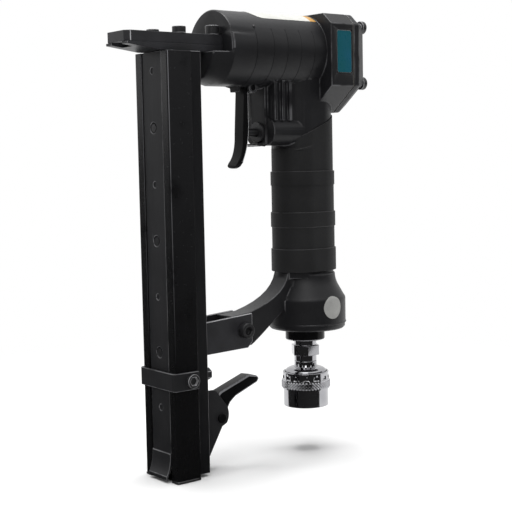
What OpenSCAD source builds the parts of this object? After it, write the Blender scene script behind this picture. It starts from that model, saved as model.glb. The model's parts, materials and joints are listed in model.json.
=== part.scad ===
// Pneumatic upholstery stapler, standing on the tail of its magazine.
// The handle and the magazine run up along Z, and staples leave the nose towards -X.
// Places are measured from the handle axis; place() moves the origin to the middle of the base.

/* [Barrel and cylinder] */
// Outer radius of the barrel
barrel_r = 19.7; // [19:0.1:21.5]
// Height of the barrel axis above the magazine tail
barrel_z = 217; // [212:0.5:222]
// Front face of the barrel, ahead of the handle axis
barrel_reach = 60; // [58:0.5:63]
// Front end of the lower jaw, ahead of the handle axis
jaw_reach = 70; // [67:0.5:72]
// Radius of the cylinder bore
bore_r = 13; // [12:0.1:13.4]
// Wall of the cylinder liner
liner_wall = 1.6; // [1.2:0.1:1.9]
// Travel of the piston and the driver blade
stroke = 38; // [34:0.5:39]
// Thickness of the rubber bumper
bumper_t = 7; // [5:0.5:9]
// Length of the piston
piston_len = 14; // [11:0.5:15]

/* [Head] */
// Half width of the rear flange and the cap
head_hw = 23; // [22:0.5:26]
// Top of the flange above the barrel axis
head_up = 20; // [19.75:0.25:23]
// Foot of the flange below the barrel axis
head_down = 32; // [30:0.5:35]
// Front of the flange, behind the handle axis
flange_front = 2; // [0:0.5:4]
// Rear face of the flange, behind the handle axis
flange_rear = 17.7; // [16.5:0.1:20]
// Thickness of the head gasket
gasket_t = 0.6; // [0.4:0.1:1.2]
// Thickness of the head cap
cap_t = 10.2; // [9:0.2:13]
// Radius of a cap screw's head
cap_head_r = 3.5; // [3:0.1:4]
// Height of a cap screw's head
cap_head_h = 2.6; // [2.2:0.1:4]

/* [Nose] */
// Tip of the nose, ahead of the handle axis
nose_reach = 116; // [113:0.5:120]
// Half width of the nose plate and the driver guide
plate_hw = 9.8; // [9.6:0.1:11]
// Thickness of the nose plate
plate_t = 5.2; // [3:0.1:5.5]
// Thickness of the driver guide
guide_t = 3.6; // [3:0.1:4.5]
// Half width of the driver blade, for a 9 mm staple crown
blade_hw = 4.5; // [4:0.1:4.7]
// Thickness of the driver blade
blade_t = 1.4; // [1:0.1:1.8]

/* [Magazine] */
// Rear face of the fixed channel, ahead of the handle axis
mag_back = 74.5; // [73:0.25:75.5]
// Front face of the sliding cover, ahead of the handle axis
cover_front = 96.4; // [95:0.1:98]
// Half width of the sliding cover
cover_hw = 14.4; // [13.5:0.05:15]
// Half width of the fixed channel
fixed_hw = 11.6; // [10.5:0.1:11.9]
// Sheet thickness of the channel and the cover
sheet_t = 1.5; // [1.2:0.1:1.7]
// Half width of the dimpled centre strip
strip_hw = 8.2; // [7.5:0.1:8.6]
// Distance between neighbouring dimples in the strip
dimple_pitch = 28; // [24:0.5:30]
// Half width of the staple rail
rail_hw = 3.4; // [3.2:0.1:3.6]
// Height of the pusher
pusher_h = 14; // [10:0.5:20]
// Curls of the pusher spring
spring_curls = 24; // [16:1:28]

/* [Handle and base] */
// Half depth of the handle core, along X
core_hx = 17; // [16:0.25:18]
// Half width of the handle core, along Y
core_hy = 13.3; // [12.5:0.1:14.5]
// Wall of the rubber grip sleeve
grip_wall = 1.3; // [1.1:0.1:2.5]
// Radius of the base under the grip
base_r = 21.3; // [20.5:0.1:23]
// Underside of the base above the magazine tail
base_z = 67.5; // [64:0.5:70]
// Height of the base up to its neck
base_h = 30.5; // [28:0.5:33]
// Half width of the arm towards the magazine
arm_hw = 6; // [5:0.25:7]

/* [Trigger] */
// Trigger pivot ahead of the handle axis
pivot_reach = 38; // [37:0.25:39]
// Half width of the trigger
trigger_hw = 4; // [3.5:0.1:4.4]
// Radius of the trigger pin
trigger_pin_r = 1.5; // [1.2:0.05:1.8]
// Radius of the valve stem
stem_r = 2.2; // [1.8:0.1:2.4]

/* [Bracket and latch] */
// Half width of the bracket over its plates
bracket_hw = 9; // [8.5:0.1:10.5]
// Sheet thickness of the bracket
bracket_t = 1.5; // [1.2:0.1:2]
// Radius of the bracket bolt
bolt_r = 2.5; // [2:0.1:3]
// Half width of the latch lever
latch_hw = 3.9; // [3:0.1:4.2]
// Radius of the latch pin
latch_pin_r = 1.5; // [1.2:0.1:1.8]

/* [Air inlet] */
// Radius of the coupler's bore, where the plug goes in
inlet_r = 5.95; // [5.5:0.05:6.3]
// Depth of the coupler's bore
inlet_depth = 17.5; // [15:0.5:18.5]
// Outer radius of the knurled ring
knurl_r = 13; // [12.5:0.1:14]
// Size of the nipple's hexagon across its flats
hex_af = 14; // [13:0.5:17]

/* [Hidden] */
$fn = 64;

// Clearances: running parts, parts pressed or screwed together, and sliding sheets
run_gap = 0.05;
seat_gap = 0.03;
slide_gap = 0.3;
// Overshoot of a cut past the face that it opens
cut = 1;

// Barrel and cylinder
liner_r = bore_r + liner_wall;
notch_x = -barrel_reach + 4;
front_wall = 3;
cylinder_x = notch_x + front_wall;
liner_rear = flange_rear - 8.7;
chamber_r = liner_r + 1.9;
piston_rest_gap = 2.6;
piston_x = liner_rear - piston_rest_gap - piston_len;
hub_len = 6;
hub_r = 5;
ring_x = piston_x + 5;
ring_w = 3.6;
ring_depth = 2;
barrel_bottom = barrel_z - barrel_r;
underside_rise = 1.3;

// Nose
blade_gap = 0.3;
plate_z = barrel_z + blade_t / 2 + blade_gap;
plate_top = plate_z + plate_t;
guide_floor = barrel_z - blade_t / 2 - blade_gap;
guide_z = plate_z - guide_t;
nose_rear = notch_x - 0.3;
nose_screw_r = 2;
nose_screw_y = (blade_hw + blade_gap + plate_hw) / 2 - 0.1;
nose_tip_cut = 2.4;
blade_tip = -nose_reach + 0.5 + stroke;

// Head
cap_x = flange_rear + gasket_t;
cap_rear = cap_x + cap_t;
cap_end = cap_rear + cap_head_h;
cap_screw_r = 2;
cap_screw_y = head_hw - 7;
cap_screw_up = head_up - 6.5;
cap_screw_down = 16.5;
valve_disc_x = liner_rear + slide_gap;
valve_disc_t = 4;
guide_stem_r = 6;
guide_stem_end = cap_x + 4.7;
stem_seal_x = guide_stem_end - 3;
stem_seal_depth = 1;
stem_seal_w = 1.6;
head_spring_r = 9;
head_spring_wire = 1.2;
head_spring_end = cap_x + 3.7;

// Magazine
cover_rear = cover_front - 14.1;
cover_top = guide_z - slide_gap;
fixed_foot = 1.75;
fixed_front = cover_front - 3.9;
fixed_flange = fixed_hw + 0.9;
web_x = -cover_front + 1.7;
web_t = 1.2;
web_rear = web_x + web_t;
groove_w = 0.7;
strip_t = 1.1;
strip_top = cover_top;
rail_t = 0.9;
rail_end = -mag_back - 5.1;
tail_h = 12;
tail_hw = 8;
tail_rear = -mag_back - 2.5;
pusher_top = guide_z - 0.8;
pusher_z = pusher_top - pusher_h;
pusher_hw = blade_hw + 0.5;
push_spring_wire = 0.8;
push_spring_r = rail_hw - rail_t - push_spring_wire / 2 - slide_gap - 0.05;
push_spring_x = (web_rear + rail_t + rail_end) / 2;
dimple_low = 37;
dimple_count = floor((strip_top - 5 - dimple_low) / dimple_pitch) + 1;
rivet_r = 1.2;
strap_z = 47;
strap_h = 9;
strap_t = 1.6;
corner_r = 0.9;
strap_rear = cover_rear + 0.7;
strap_screw_x = -cover_rear - 5;

// Handle, base and arm
grip_z = base_z + base_h + 1.5;
grip_back_z = barrel_z - 32;
grip_front_z = barrel_z - 48;
base_x = 1.6;
base_neck_r = base_r - 5.6;
handle_bore_r = 8;
cap_seat_r = 17.5;
end_cap_t = 7.5;

// Trigger and its valve
pivot_z = barrel_bottom + 0.2;
pivot_x = -pivot_reach;
trigger_hub_r = trigger_pin_r + 1.4;
trigger_room = trigger_hub_r + 2;
lug_w = 2.4;
lug_in = trigger_hw + 0.4;
lug_r = trigger_pin_r + 1.3;
tongue_rear = pivot_x - 1.2;
valve_z = pivot_z - 23;
post_front = -30;
post_hw = 6;
block_hw = 10;
valve_r = 4.6;
valve_rear = -10;
valve_flange_r = 5.4;
valve_flange_t = 1.5;
valve_chamber_r = 3.6;
valve_chamber_x = post_front + 8;
stem_shoulder_r = valve_chamber_r - 0.2;
stem_shoulder_t = 2.4;
stem_tip = tongue_rear + slide_gap;
valve_spring_wire = 0.7;

// Bracket, bolt and latch
arm_end = -54.5;
stop_y = 7.4;
stop_z = 52;
bolt_x = -49;
bolt_z = base_z + 4.5;
bracket_rear = -43.5;
bracket_z = base_z - 6;
bracket_top = base_z + 12;
bracket_in = bracket_hw - bracket_t;
latch_x = -62.2;
latch_z = 27;
ear_in = latch_hw + slide_gap;
ear_t = 1.2;
latch_web_rear = -mag_back + ear_t;
latch_spring_z = latch_z + 7;
latch_spring_end = latch_x - 4.2;

// Air inlet, from the base down
collar_z = base_z - 6.3;
collar_r = 10.8;
hex_z = base_z - 15;
hex_h = 5.5;
nipple_r = 6.2;
thread_r = 4.7;
air_r = 3.2;
coupler_top = base_z - 18.3;
coupler_flange_h = 7.2;
coupler_flange_r = 11.3;
coupler_shoulder_h = 6;
coupler_crown_h = 3.2;
coupler_groove_h = 3;
coupler_mouth = coupler_top - coupler_flange_h - inlet_depth + 0.5;
tube_r = inlet_r + 2.2;
sleeve_top = coupler_top - coupler_flange_h - coupler_groove_h;
knurl_h = 5;
sleeve_r = knurl_r - 0.6;
sleeve_z = coupler_mouth - 0.6;
sleeve_land = 3;
skirt_h = 4.4;
skirt_r = knurl_r - 0.3;
skirt_gap = 0.35;
sleeve_room_r = tube_r + 2.4;
clip_z = sleeve_top - 4.4;
clip_t = 1.4;
coupler_spring_wire = 1;

mid_x = (cap_end - nose_reach) / 2;

// Shared shapes

// Moves a piece from the handle's frame to the part's own frame
module place() { translate([-mid_x, 0, 0]) children(); }

// Round bar along X, Y or Z
module rod_x(x0, x1, r, z) { translate([x0, 0, z]) rotate([0, 90, 0]) cylinder(r = r, h = x1 - x0); }
module rod_y(x, z, r, y0, y1) { translate([x, y0, z]) rotate([-90, 0, 0]) cylinder(r = r, h = y1 - y0); }
module rod_z(x, y, r, z0, z1) { translate([x, y, z0]) cylinder(r = r, h = z1 - z0); }

// Box that is even about the middle plane
module block(x0, x1, hw, z0, z1) { translate([x0, -hw, z0]) cube([x1 - x0, 2 * hw, z1 - z0]); }

// Profile in X and Z, drawn out along Y
module slab_y(y0, y1) { translate([0, y1, 0]) rotate([90, 0, 0]) linear_extrude(y1 - y0) children(); }

// The same profile on both sides, from y0 to y1 off the middle plane
module pair_y(y0, y1) {
    slab_y(y0, y1) children();
    slab_y(-y1, -y0) children();
}

// Profile in Y and Z, drawn out along X
module prism_x(x0, x1) { translate([x0, 0, 0]) rotate([90, 0, 90]) linear_extrude(x1 - x0) children(); }

// Profile of radius and length, turned about an axis along X
module turned_x(x0, z) { translate([x0, 0, z]) rotate([0, 90, 0]) rotate_extrude() children(); }

// Profile of radius and height, turned about an upright axis
module turned_z(x, z) { translate([x, 0, z]) rotate_extrude() children(); }

// Flat ring of inner radius r0 and outer radius r1
module ring_profile(r0, r1, y0, y1) { translate([r0, y0]) square([r1 - r0, y1 - y0]); }

// Oval with straight sides and round ends
module oval(half_long, half_short) {
    reach = half_long - half_short;
    for (side = [-1, 1]) translate([side * reach, 0]) circle(r = half_short);
    square([2 * reach, 2 * half_short], center = true);
}

// Rectangle from corner a to corner b with round corners
module round_rect(a, b, r) {
    translate([a[0] + r, a[1]]) square([b[0] - a[0] - 2 * r, b[1] - a[1]]);
    translate([a[0], a[1] + r]) square([b[0] - a[0], b[1] - a[1] - 2 * r]);
    for (x = [a[0] + r, b[0] - r], y = [a[1] + r, b[1] - r]) translate([x, y]) circle(r = r);
}

// Points of a smooth bend from a to c, drawn towards b
bend_steps = 7;
function bend(a, b, c) = [for (i = [0 : bend_steps]) let (t = i / bend_steps)
    (1 - t) * (1 - t) * a + 2 * t * (1 - t) * b + t * t * c];

// Wire coil along Z as one unbroken tube, 8 rings to a curl and 6 sides
rings_per_curl = 8;
wire_sides = 6;
function coil_ring(i, r, wire, pitch) =
    let (turn = 360 * i / rings_per_curl)
    [for (s = [0 : wire_sides - 1])
        let (out = r + wire / 2 * cos(360 * s / wire_sides))
        let (up = wire / 2 * sin(360 * s / wire_sides))
        [out * cos(turn), out * sin(turn), pitch * i / rings_per_curl + up]];
module coil(r, wire, length, curls) {
    rings = curls * rings_per_curl;
    pitch = (length - wire) / curls;
    points = [for (i = [0 : rings]) each coil_ring(i, r, wire, pitch)];
    walls = [for (i = [0 : rings - 1], s = [0 : wire_sides - 1])
        let (a = i * wire_sides + s, b = i * wire_sides + (s + 1) % wire_sides)
        each [[a, a + wire_sides, b], [b, a + wire_sides, b + wire_sides]]];
    last = rings * wire_sides;
    ends = [for (s = [1 : wire_sides - 2]) each [[0, s, s + 1], [last, last + s + 1, last + s]]];
    echo("least gap between curls", pitch - wire);
    translate([0, 0, wire / 2]) polyhedron(points, concat(walls, ends));
}

// Body casting

// Eight-sided outline of the rear flange, in Y and Z, drawn in by inset
function head_half(inset) = [
    [head_hw - 6.5 - inset / 2, head_up - inset],
    [head_hw - inset, head_up - 5.8 - inset / 2],
    [head_hw - inset, -18.5 + inset / 2],
    [head_hw - 17 - inset / 2, -head_down + inset]
];
module head_outline(inset = 0) {
    half = head_half(inset);
    other = [for (i = [3 : -1 : 0]) [-half[i][0], half[i][1]]];
    translate([0, barrel_z]) polygon(concat(half, other));
}

// Fine grooves round the barrel, which run out on its upper side
module barrel_grooves() {
    groove_t = 0.7;
    groove_depth = 0.15;
    first = -45;
    second = -34;
    pitch = 9.1;
    top = barrel_z + barrel_r / 2;
    intersection() {
        union() for (x = [first, each [for (i = [0 : 3]) second + i * pitch]])
            turned_x(x - groove_t / 2, barrel_z)
                ring_profile(barrel_r - groove_depth, barrel_r + cut, 0, groove_t);
        block(-barrel_reach, flange_front, 2 * barrel_r, barrel_bottom - cut, top);
    }
}

module barrel_shell() {
    rim = 0.9;
    barrel_len = barrel_reach + flange_front + 1;
    difference() {
        turned_x(-barrel_reach, barrel_z)
            polygon([[0, 0], [barrel_r - rim, 0], [barrel_r, rim], [barrel_r, barrel_len], [0, barrel_len]]);
        barrel_grooves();
        // flat underside, up to the trigger's lug
        block(-barrel_reach - cut, pivot_x - 8, barrel_r,
            barrel_bottom - cut, barrel_bottom + underside_rise);
    }
    prism_x(flange_front, flange_rear) head_outline();
}

// Shallow seat for a bare plate on one side of the flange
module plate_seat() {
    seat_depth = 0.5;
    seat_edge = 3.8;
    slab_y(-head_hw - cut, -head_hw + seat_depth)
        round_rect([flange_front + seat_edge, barrel_z - 12], [flange_rear - 0.8, barrel_z + 11.2], 1.2);
}

// Lower half of the barrel, which reaches on under the nose
module lower_jaw() {
    jaw_rise = 3;
    jaw_edge = 0.8;
    jaw_len = jaw_reach - barrel_reach + cut;
    intersection() {
        turned_x(-jaw_reach, barrel_z)
            polygon([[0, 0], [barrel_r - jaw_rise - jaw_edge, 0], [barrel_r - jaw_rise, jaw_edge],
                [barrel_r - 0.1, jaw_len], [0, jaw_len]]);
        block(-jaw_reach - cut, cut, barrel_r + cut, barrel_bottom + underside_rise, guide_z);
    }
}

// Base below the grip: a low foot, a plain wall, a shoulder and a hollow flare up to the neck
module base_bell() {
    foot_edge = 1;
    foot_inset = 0.4;
    foot_h = 2.4;
    foot_r = base_r - foot_inset;
    shoulder_h = base_h - 14.6;
    flare_r = base_neck_r + 2;
    flare_h = base_h - 7.4;
    turned_z(base_x, base_z)
        polygon(concat([[0, 0], [foot_r - foot_edge, 0], [foot_r, foot_edge], [foot_r, foot_h]],
            [[base_r, foot_h + foot_inset]],
            bend([base_r, shoulder_h], [base_r, shoulder_h + 1.3], [base_r - 0.8, shoulder_h + 2.2]),
            bend([flare_r, flare_h], [base_neck_r, flare_h + 3.4], [base_neck_r, base_h]), [[0, base_h]]));
}

module arm() {
    slab_y(-arm_hw, arm_hw)
        translate([0, base_z])
            polygon(concat([[-10, 31.5]], bend([-16.3, 31.5], [-19, 19], [-43.5, 13]),
                [[arm_end, 12], [arm_end, -3.5]], bend([-42, -4.5], [-36, -1], [-20, 12]), [[-10, 14]]));
    slab_y(-bracket_in, bracket_in)
        translate([0, base_z]) polygon([[arm_end, -3.5], [-44.5, -3.5], [-44.5, 9.5], [arm_end, 12]]);
}

// Block under the barrel that holds the trigger valve, with its three ribs and the lip below
module valve_housing() {
    rib_t = 1.8;
    rib_pitch = 5;
    top = barrel_z - barrel_r / 2;
    block(post_front, 0, post_hw, valve_z - 6, top);
    block(post_front + 2, 0, block_hw, valve_z, top);
    for (i = [0 : 2]) {
        x = post_front + 3 + i * rib_pitch;
        block(x - rib_t / 2, x + rib_t / 2, block_hw + 1.8, valve_z + 6, top);
    }
    prism_x(post_front + 1, -8) translate([0, valve_z + 0.5]) oval(block_hw + 2.5, 7.5);
    slab_y(-4.5, 4.5)
        translate([post_front, valve_z])
            polygon([[-5, -5.9], [-5, -6.6], [-2.5, -7.4], [5, -6.6], [5, -5.9]]);
}

module trigger_lugs() {
    pair_y(lug_in, lug_in + lug_w) {
        translate([pivot_x, pivot_z]) circle(r = lug_r);
        translate([pivot_x - lug_r, pivot_z]) square([2 * lug_r, barrel_r / 2]);
    }
    block(pivot_x - 8, pivot_x - 6, 3, barrel_bottom - 2, barrel_bottom + 4);
}

module body_bores() {
    air_x = flange_rear - 6.8;
    hub_top = pivot_z + trigger_hub_r + 0.5;
    rod_x(cylinder_x, flange_rear + cut, liner_r + seat_gap, barrel_z);
    rod_x(liner_rear, flange_rear + cut, chamber_r, barrel_z);
    // room for return air round the liner
    turned_x(cylinder_x + 8, barrel_z) ring_profile(liner_r - cut, liner_r + 1, 0, stroke - 4);
    // seat of the nose, and the blade's way through the front wall
    block(-nose_reach, notch_x, plate_hw + slide_gap, guide_z, plate_top + slide_gap);
    // the magazine's way past the jaw
    block(-nose_reach, -mag_back + slide_gap, cover_hw + slide_gap, barrel_bottom - cut, guide_z + cut);
    block(notch_x - cut, cylinder_x + cut, blade_hw + blade_gap, guide_floor, plate_z);
    for (side = [-1, 1])
        rod_z(-barrel_reach - 4, side * nose_screw_y, nose_screw_r + seat_gap, guide_z - 8.5, guide_z + cut);
    for (y = [-cap_screw_y, cap_screw_y], z = [cap_screw_up, -cap_screw_down])
        translate([0, y, 0])
            rod_x(flange_front + 3, flange_rear + cut, cap_screw_r + seat_gap, barrel_z + z);
    // air way up the handle to the head
    rod_z(0, 0, handle_bore_r, base_z + cut, valve_z - 10);
    rod_z(air_x, 0, air_r, valve_z - 24, barrel_z - chamber_r + 3);
    rod_z(base_x, 0, cap_seat_r + seat_gap, base_z - cut, base_z + end_cap_t);
    // trigger valve, trigger hub and pin
    rod_x(post_front - cut, valve_rear, valve_r + seat_gap, valve_z);
    block(pivot_x - trigger_room, pivot_x + trigger_room, lug_in, pivot_z - 6, hub_top);
    rod_y(pivot_x, pivot_z, trigger_pin_r + seat_gap, -barrel_r, barrel_r);
    rod_y(bolt_x, bolt_z, bolt_r + seat_gap, -barrel_r, barrel_r);
}

module gun_body() {
    color("#1c1c1c") place() difference() {
        union() {
            barrel_shell();
            lower_jaw();
            translate([0, 0, base_z + base_h - 2])
                linear_extrude(barrel_z - base_z - base_h - barrel_r / 2) oval(core_hx, core_hy);
            base_bell();
            arm();
            valve_housing();
            trigger_lugs();
        }
        body_bores();
        plate_seat();
    }
}

// Cylinder, piston and driver

seal_w = 2;
seal_depth = 0.9;
function seal_places() = [cylinder_x + 3, liner_rear - 5];

module cylinder_liner() {
    color("#c9c9cb") place() difference() {
        rod_x(cylinder_x, liner_rear, liner_r, barrel_z);
        rod_x(cylinder_x - cut, liner_rear + cut, bore_r, barrel_z);
        for (x = seal_places())
            turned_x(x, barrel_z) ring_profile(liner_r - seal_depth, liner_r + cut, 0, seal_w);
    }
}

module liner_seals() {
    color("#101010") place()
        for (x = seal_places())
            turned_x(x, barrel_z) ring_profile(liner_r - seal_depth + seat_gap, liner_r, 0, seal_w);
}

module bumper() {
    color("#26241f") place() difference() {
        rod_x(cylinder_x, cylinder_x + bumper_t, bore_r - seat_gap, barrel_z);
        rod_x(cylinder_x - cut, cylinder_x + bumper_t + cut, hub_r + 1.2, barrel_z);
    }
}

module piston() {
    fork_end = piston_x - hub_len;
    color("#b9bbbe") place() difference() {
        union() {
            rod_x(piston_x, piston_x + piston_len, bore_r - 0.08, barrel_z);
            rod_x(fork_end, piston_x + cut, hub_r, barrel_z);
        }
        turned_x(ring_x, barrel_z) ring_profile(bore_r - ring_depth, bore_r + cut, 0, ring_w);
        block(fork_end - cut, piston_x, hub_r + cut, barrel_z - blade_t / 2, barrel_z + blade_t / 2);
        rod_z(piston_x - hub_len / 2, 0, 1.4 + seat_gap, barrel_z - hub_r - cut, barrel_z + hub_r + cut);
        rod_x(piston_x + 4, piston_x + piston_len + cut, bore_r - 4.5, barrel_z);
    }
}

module piston_ring() {
    color("#101010") place()
        turned_x(ring_x, barrel_z) ring_profile(bore_r - ring_depth + seat_gap, bore_r - 0.04, 0, ring_w);
}

module driver_blade() {
    color("#8f9296") place() difference() {
        block(blade_tip, piston_x, blade_hw, barrel_z - blade_t / 2, barrel_z + blade_t / 2);
        rod_z(piston_x - hub_len / 2, 0, 1.4 + seat_gap, barrel_z - blade_t, barrel_z + blade_t);
    }
}

module driver_pin() {
    half = hub_r - 0.8;
    color("#a8abaf") place() rod_z(piston_x - hub_len / 2, 0, 1.4, barrel_z - half, barrel_z + half);
}

// Head

module head_holes(x0, x1) {
    for (y = [-cap_screw_y, cap_screw_y], z = [cap_screw_up, -cap_screw_down])
        translate([0, y, 0]) rod_x(x0 - cut, x1 + cut, cap_screw_r + seat_gap, barrel_z + z);
}

module head_gasket() {
    color("#3a3733") place() difference() {
        prism_x(flange_rear, cap_x) head_outline(0.4);
        rod_x(flange_rear - cut, cap_x + cut, chamber_r, barrel_z);
        head_holes(flange_rear, cap_x);
    }
}

module head_cap() {
    slope_len = 6.6;
    slope_in = 4;
    face = 0.01;
    color("#1c1c1c") place() difference() {
        union() {
            prism_x(cap_x, cap_rear - slope_len) head_outline();
            hull() {
                prism_x(cap_rear - slope_len - face, cap_rear - slope_len) head_outline();
                prism_x(cap_rear - face, cap_rear) head_outline(slope_in);
            }
        }
        head_holes(cap_x, cap_rear);
        rod_x(cap_x - cut, guide_stem_end + 3, guide_stem_r + run_gap, barrel_z);
        turned_x(cap_x, barrel_z)
            ring_profile(head_spring_r - 1.2, head_spring_r + 1.2, -cut, head_spring_end - cap_x);
    }
}

module cap_screws() {
    socket_r = 1.9;
    socket_depth = cap_head_h / 2;
    color("#2a2a2c") place()
        for (y = [-cap_screw_y, cap_screw_y], z = [cap_screw_up, -cap_screw_down])
            translate([0, y, barrel_z + z]) difference() {
                union() {
                    rod_x(flange_front + 4, cap_rear, cap_screw_r, 0);
                    rod_x(cap_rear, cap_end, cap_head_r, 0);
                }
                translate([cap_end - socket_depth, 0, 0]) rotate([0, 90, 0])
                    cylinder(r = socket_r, h = socket_depth + cut, $fn = 6);
            }
}

module head_valve() {
    color("#d8d4c8") place() difference() {
        union() {
            rod_x(valve_disc_x, valve_disc_x + valve_disc_t, chamber_r - 0.5, barrel_z);
            rod_x(valve_disc_x + valve_disc_t, guide_stem_end, guide_stem_r, barrel_z);
        }
        turned_x(stem_seal_x, barrel_z)
            ring_profile(guide_stem_r - stem_seal_depth, guide_stem_r + cut, 0, stem_seal_w);
    }
}

module head_valve_seal() {
    color("#101010") place()
        turned_x(stem_seal_x, barrel_z)
            ring_profile(guide_stem_r - stem_seal_depth + seat_gap, guide_stem_r + 0.01, 0, stem_seal_w);
}

module head_valve_spring() {
    x0 = valve_disc_x + valve_disc_t + 0.1;
    color("#9a9da0") place() translate([x0, 0, barrel_z]) rotate([0, 90, 0])
        coil(head_spring_r, head_spring_wire, head_spring_end - 0.1 - x0, 3);
}

// Nose

function nose_screw_places() = [
    [-barrel_reach - 4, -1, 3.4, 4.6], [-barrel_reach - 24, -1, 3.4, 3.3],
    [-barrel_reach - 4, 1, 3.2, 1.7], [-barrel_reach - 30, 1, 3.2, 2.8]
];

module nose_plate() {
    color("#222224") place() difference() {
        translate([0, 0, plate_z]) linear_extrude(plate_t)
            polygon([[-nose_reach, -plate_hw + nose_tip_cut], [-nose_reach + nose_tip_cut, -plate_hw],
                [nose_rear, -plate_hw], [nose_rear, plate_hw],
                [-nose_reach + nose_tip_cut, plate_hw], [-nose_reach, plate_hw - nose_tip_cut]]);
        for (s = nose_screw_places())
            rod_z(s[0], s[1] * nose_screw_y, nose_screw_r + seat_gap, plate_z - cut, plate_top + cut);
    }
}

module driver_guide() {
    tip_x = -nose_reach + 0.5;
    tip_z = plate_z - 1.2;
    window_x = -fixed_front - 0.5;
    color("#2b2b2d") place() difference() {
        slab_y(-plate_hw, plate_hw)
            polygon([[tip_x, plate_z], [tip_x, tip_z], [-cover_front - 1, guide_z],
                [nose_rear, guide_z], [nose_rear, plate_z]]);
        block(-nose_reach - cut, nose_rear + cut, blade_hw + blade_gap, guide_floor, plate_z + cut);
        block(window_x, -mag_back - 3, blade_hw + blade_gap, guide_z - cut, plate_z);
        for (s = nose_screw_places())
            rod_z(s[0], s[1] * nose_screw_y, nose_screw_r + seat_gap, guide_z - cut, plate_z + cut);
    }
}

module nose_screws() {
    color("#2a2a2c") place()
        for (s = nose_screw_places()) {
            depth = s[0] > -jaw_reach ? guide_z - 8 : guide_z + 0.2;
            translate([s[0], s[1] * nose_screw_y, 0]) difference() {
                union() {
                    rod_z(0, 0, nose_screw_r, depth, plate_top);
                    rod_z(0, 0, s[2], plate_top, plate_top + s[3]);
                }
                translate([0, 0, plate_top + s[3] / 2]) cylinder(r = 1.7, h = s[3], $fn = 6);
            }
        }
}

// Trigger and its valve

module trigger() {
    tip_flat = 0.5;
    tip_r = trigger_hw - tip_flat;
    tip_z = pivot_z - 41.7;
    top = pivot_z + trigger_hub_r + 1;
    color("#202020") place() difference() {
        intersection() {
            union() {
                rod_y(pivot_x, pivot_z, trigger_hub_r, -trigger_hw, trigger_hw);
                slab_y(-trigger_hw, trigger_hw)
                    translate([tongue_rear, pivot_z])
                        polygon(concat([[0, 0]], bend([0, -22], [-1, -34], [-5.6, -40.4]),
                            bend([-7, -41.8], [-9.6, -41.8], [-8.8, -40]),
                            bend([-7, -37.4], [-3.8, -33], [-3.8, -23.5]),
                            bend([-2.5, 0], [-2.5, 2.4], [0, 2.4])));
            }
            prism_x(pivot_x - 20, pivot_x + 20)
                polygon(concat([[-trigger_hw, top]],
                    bend([-trigger_hw, tip_z + tip_r], [-trigger_hw, tip_z], [-tip_flat, tip_z]),
                    bend([tip_flat, tip_z], [trigger_hw, tip_z], [trigger_hw, tip_z + tip_r]),
                    [[trigger_hw, top]]));
        }
        rod_y(pivot_x, pivot_z, trigger_pin_r + run_gap, -trigger_hw - cut, trigger_hw + cut);
    }
}

module trigger_pin() {
    half = lug_in + lug_w;
    color("#8d9094") place() rod_y(pivot_x, pivot_z, trigger_pin_r, -half, half);
}

module valve_body() {
    color("#b59a4c") place() difference() {
        union() {
            rod_x(post_front, valve_rear, valve_r, valve_z);
            rod_x(post_front - valve_flange_t, post_front, valve_flange_r, valve_z);
        }
        rod_x(post_front - valve_flange_t - cut, valve_chamber_x, stem_r + run_gap, valve_z);
        rod_x(valve_chamber_x, valve_rear - 1.5, valve_chamber_r, valve_z);
    }
}

module valve_stem() {
    shoulder_x = valve_chamber_x + slide_gap;
    color("#c8cacc") place() {
        rod_x(stem_tip, shoulder_x, stem_r, valve_z);
        rod_x(shoulder_x, shoulder_x + stem_shoulder_t, stem_shoulder_r, valve_z);
    }
}

module valve_spring() {
    x0 = valve_chamber_x + slide_gap + stem_shoulder_t + 0.1;
    color("#9a9da0") place() translate([x0, 0, valve_z]) rotate([0, 90, 0])
        coil(valve_chamber_r - 0.9, valve_spring_wire, valve_rear - 1.6 - x0, 4);
}

// Grip, base and air inlet

// Each band of the grip: its lower edge above the grip's foot, and how far its face stands out
grip_bands = [[0, 0.3], [12.2, -0.3], [24, 0.2], [32, -0.4], [46.5, 0], [54, -0.7]];

module grip_sleeve() {
    outer_x = core_hx + grip_wall;
    outer_y = core_hy + grip_wall;
    slope = atan2(grip_back_z - grip_front_z, 2 * outer_x);
    color("#3a3a3a") place() difference() {
        union() for (i = [0 : len(grip_bands) - 1]) {
            low = grip_z + grip_bands[i][0];
            high = i + 1 < len(grip_bands) ? grip_z + grip_bands[i + 1][0] : grip_back_z;
            out = grip_bands[i][1];
            translate([0, 0, low]) linear_extrude(high - low) oval(outer_x + out, outer_y + out);
        }
        translate([0, 0, grip_z - cut]) linear_extrude(barrel_z) oval(core_hx, core_hy);
        translate([0, 0, (grip_back_z + grip_front_z) / 2]) rotate([0, -slope, 0])
            translate([-2 * barrel_r, -2 * barrel_r, 0]) cube(4 * barrel_r);
        // room for the valve housing where it stands out of the handle
        prism_x(post_front, 0) translate([0, valve_z + 0.5]) oval(block_hw + 2.5, 7.5);
        block(post_front - 8, 0, block_hw, valve_z - 8.6, barrel_z);
    }
}

module end_cap() {
    color("#232323") place() difference() {
        rod_z(base_x, 0, cap_seat_r, base_z, base_z + end_cap_t);
        rod_z(0, 0, thread_r + seat_gap, base_z - cut, base_z + end_cap_t + cut);
    }
}

module inlet_collar() {
    color("#1b1b1b") place() difference() {
        rod_z(0, 0, collar_r, collar_z, base_z);
        rod_z(0, 0, thread_r + seat_gap, collar_z - cut, base_z + cut);
    }
}

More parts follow.
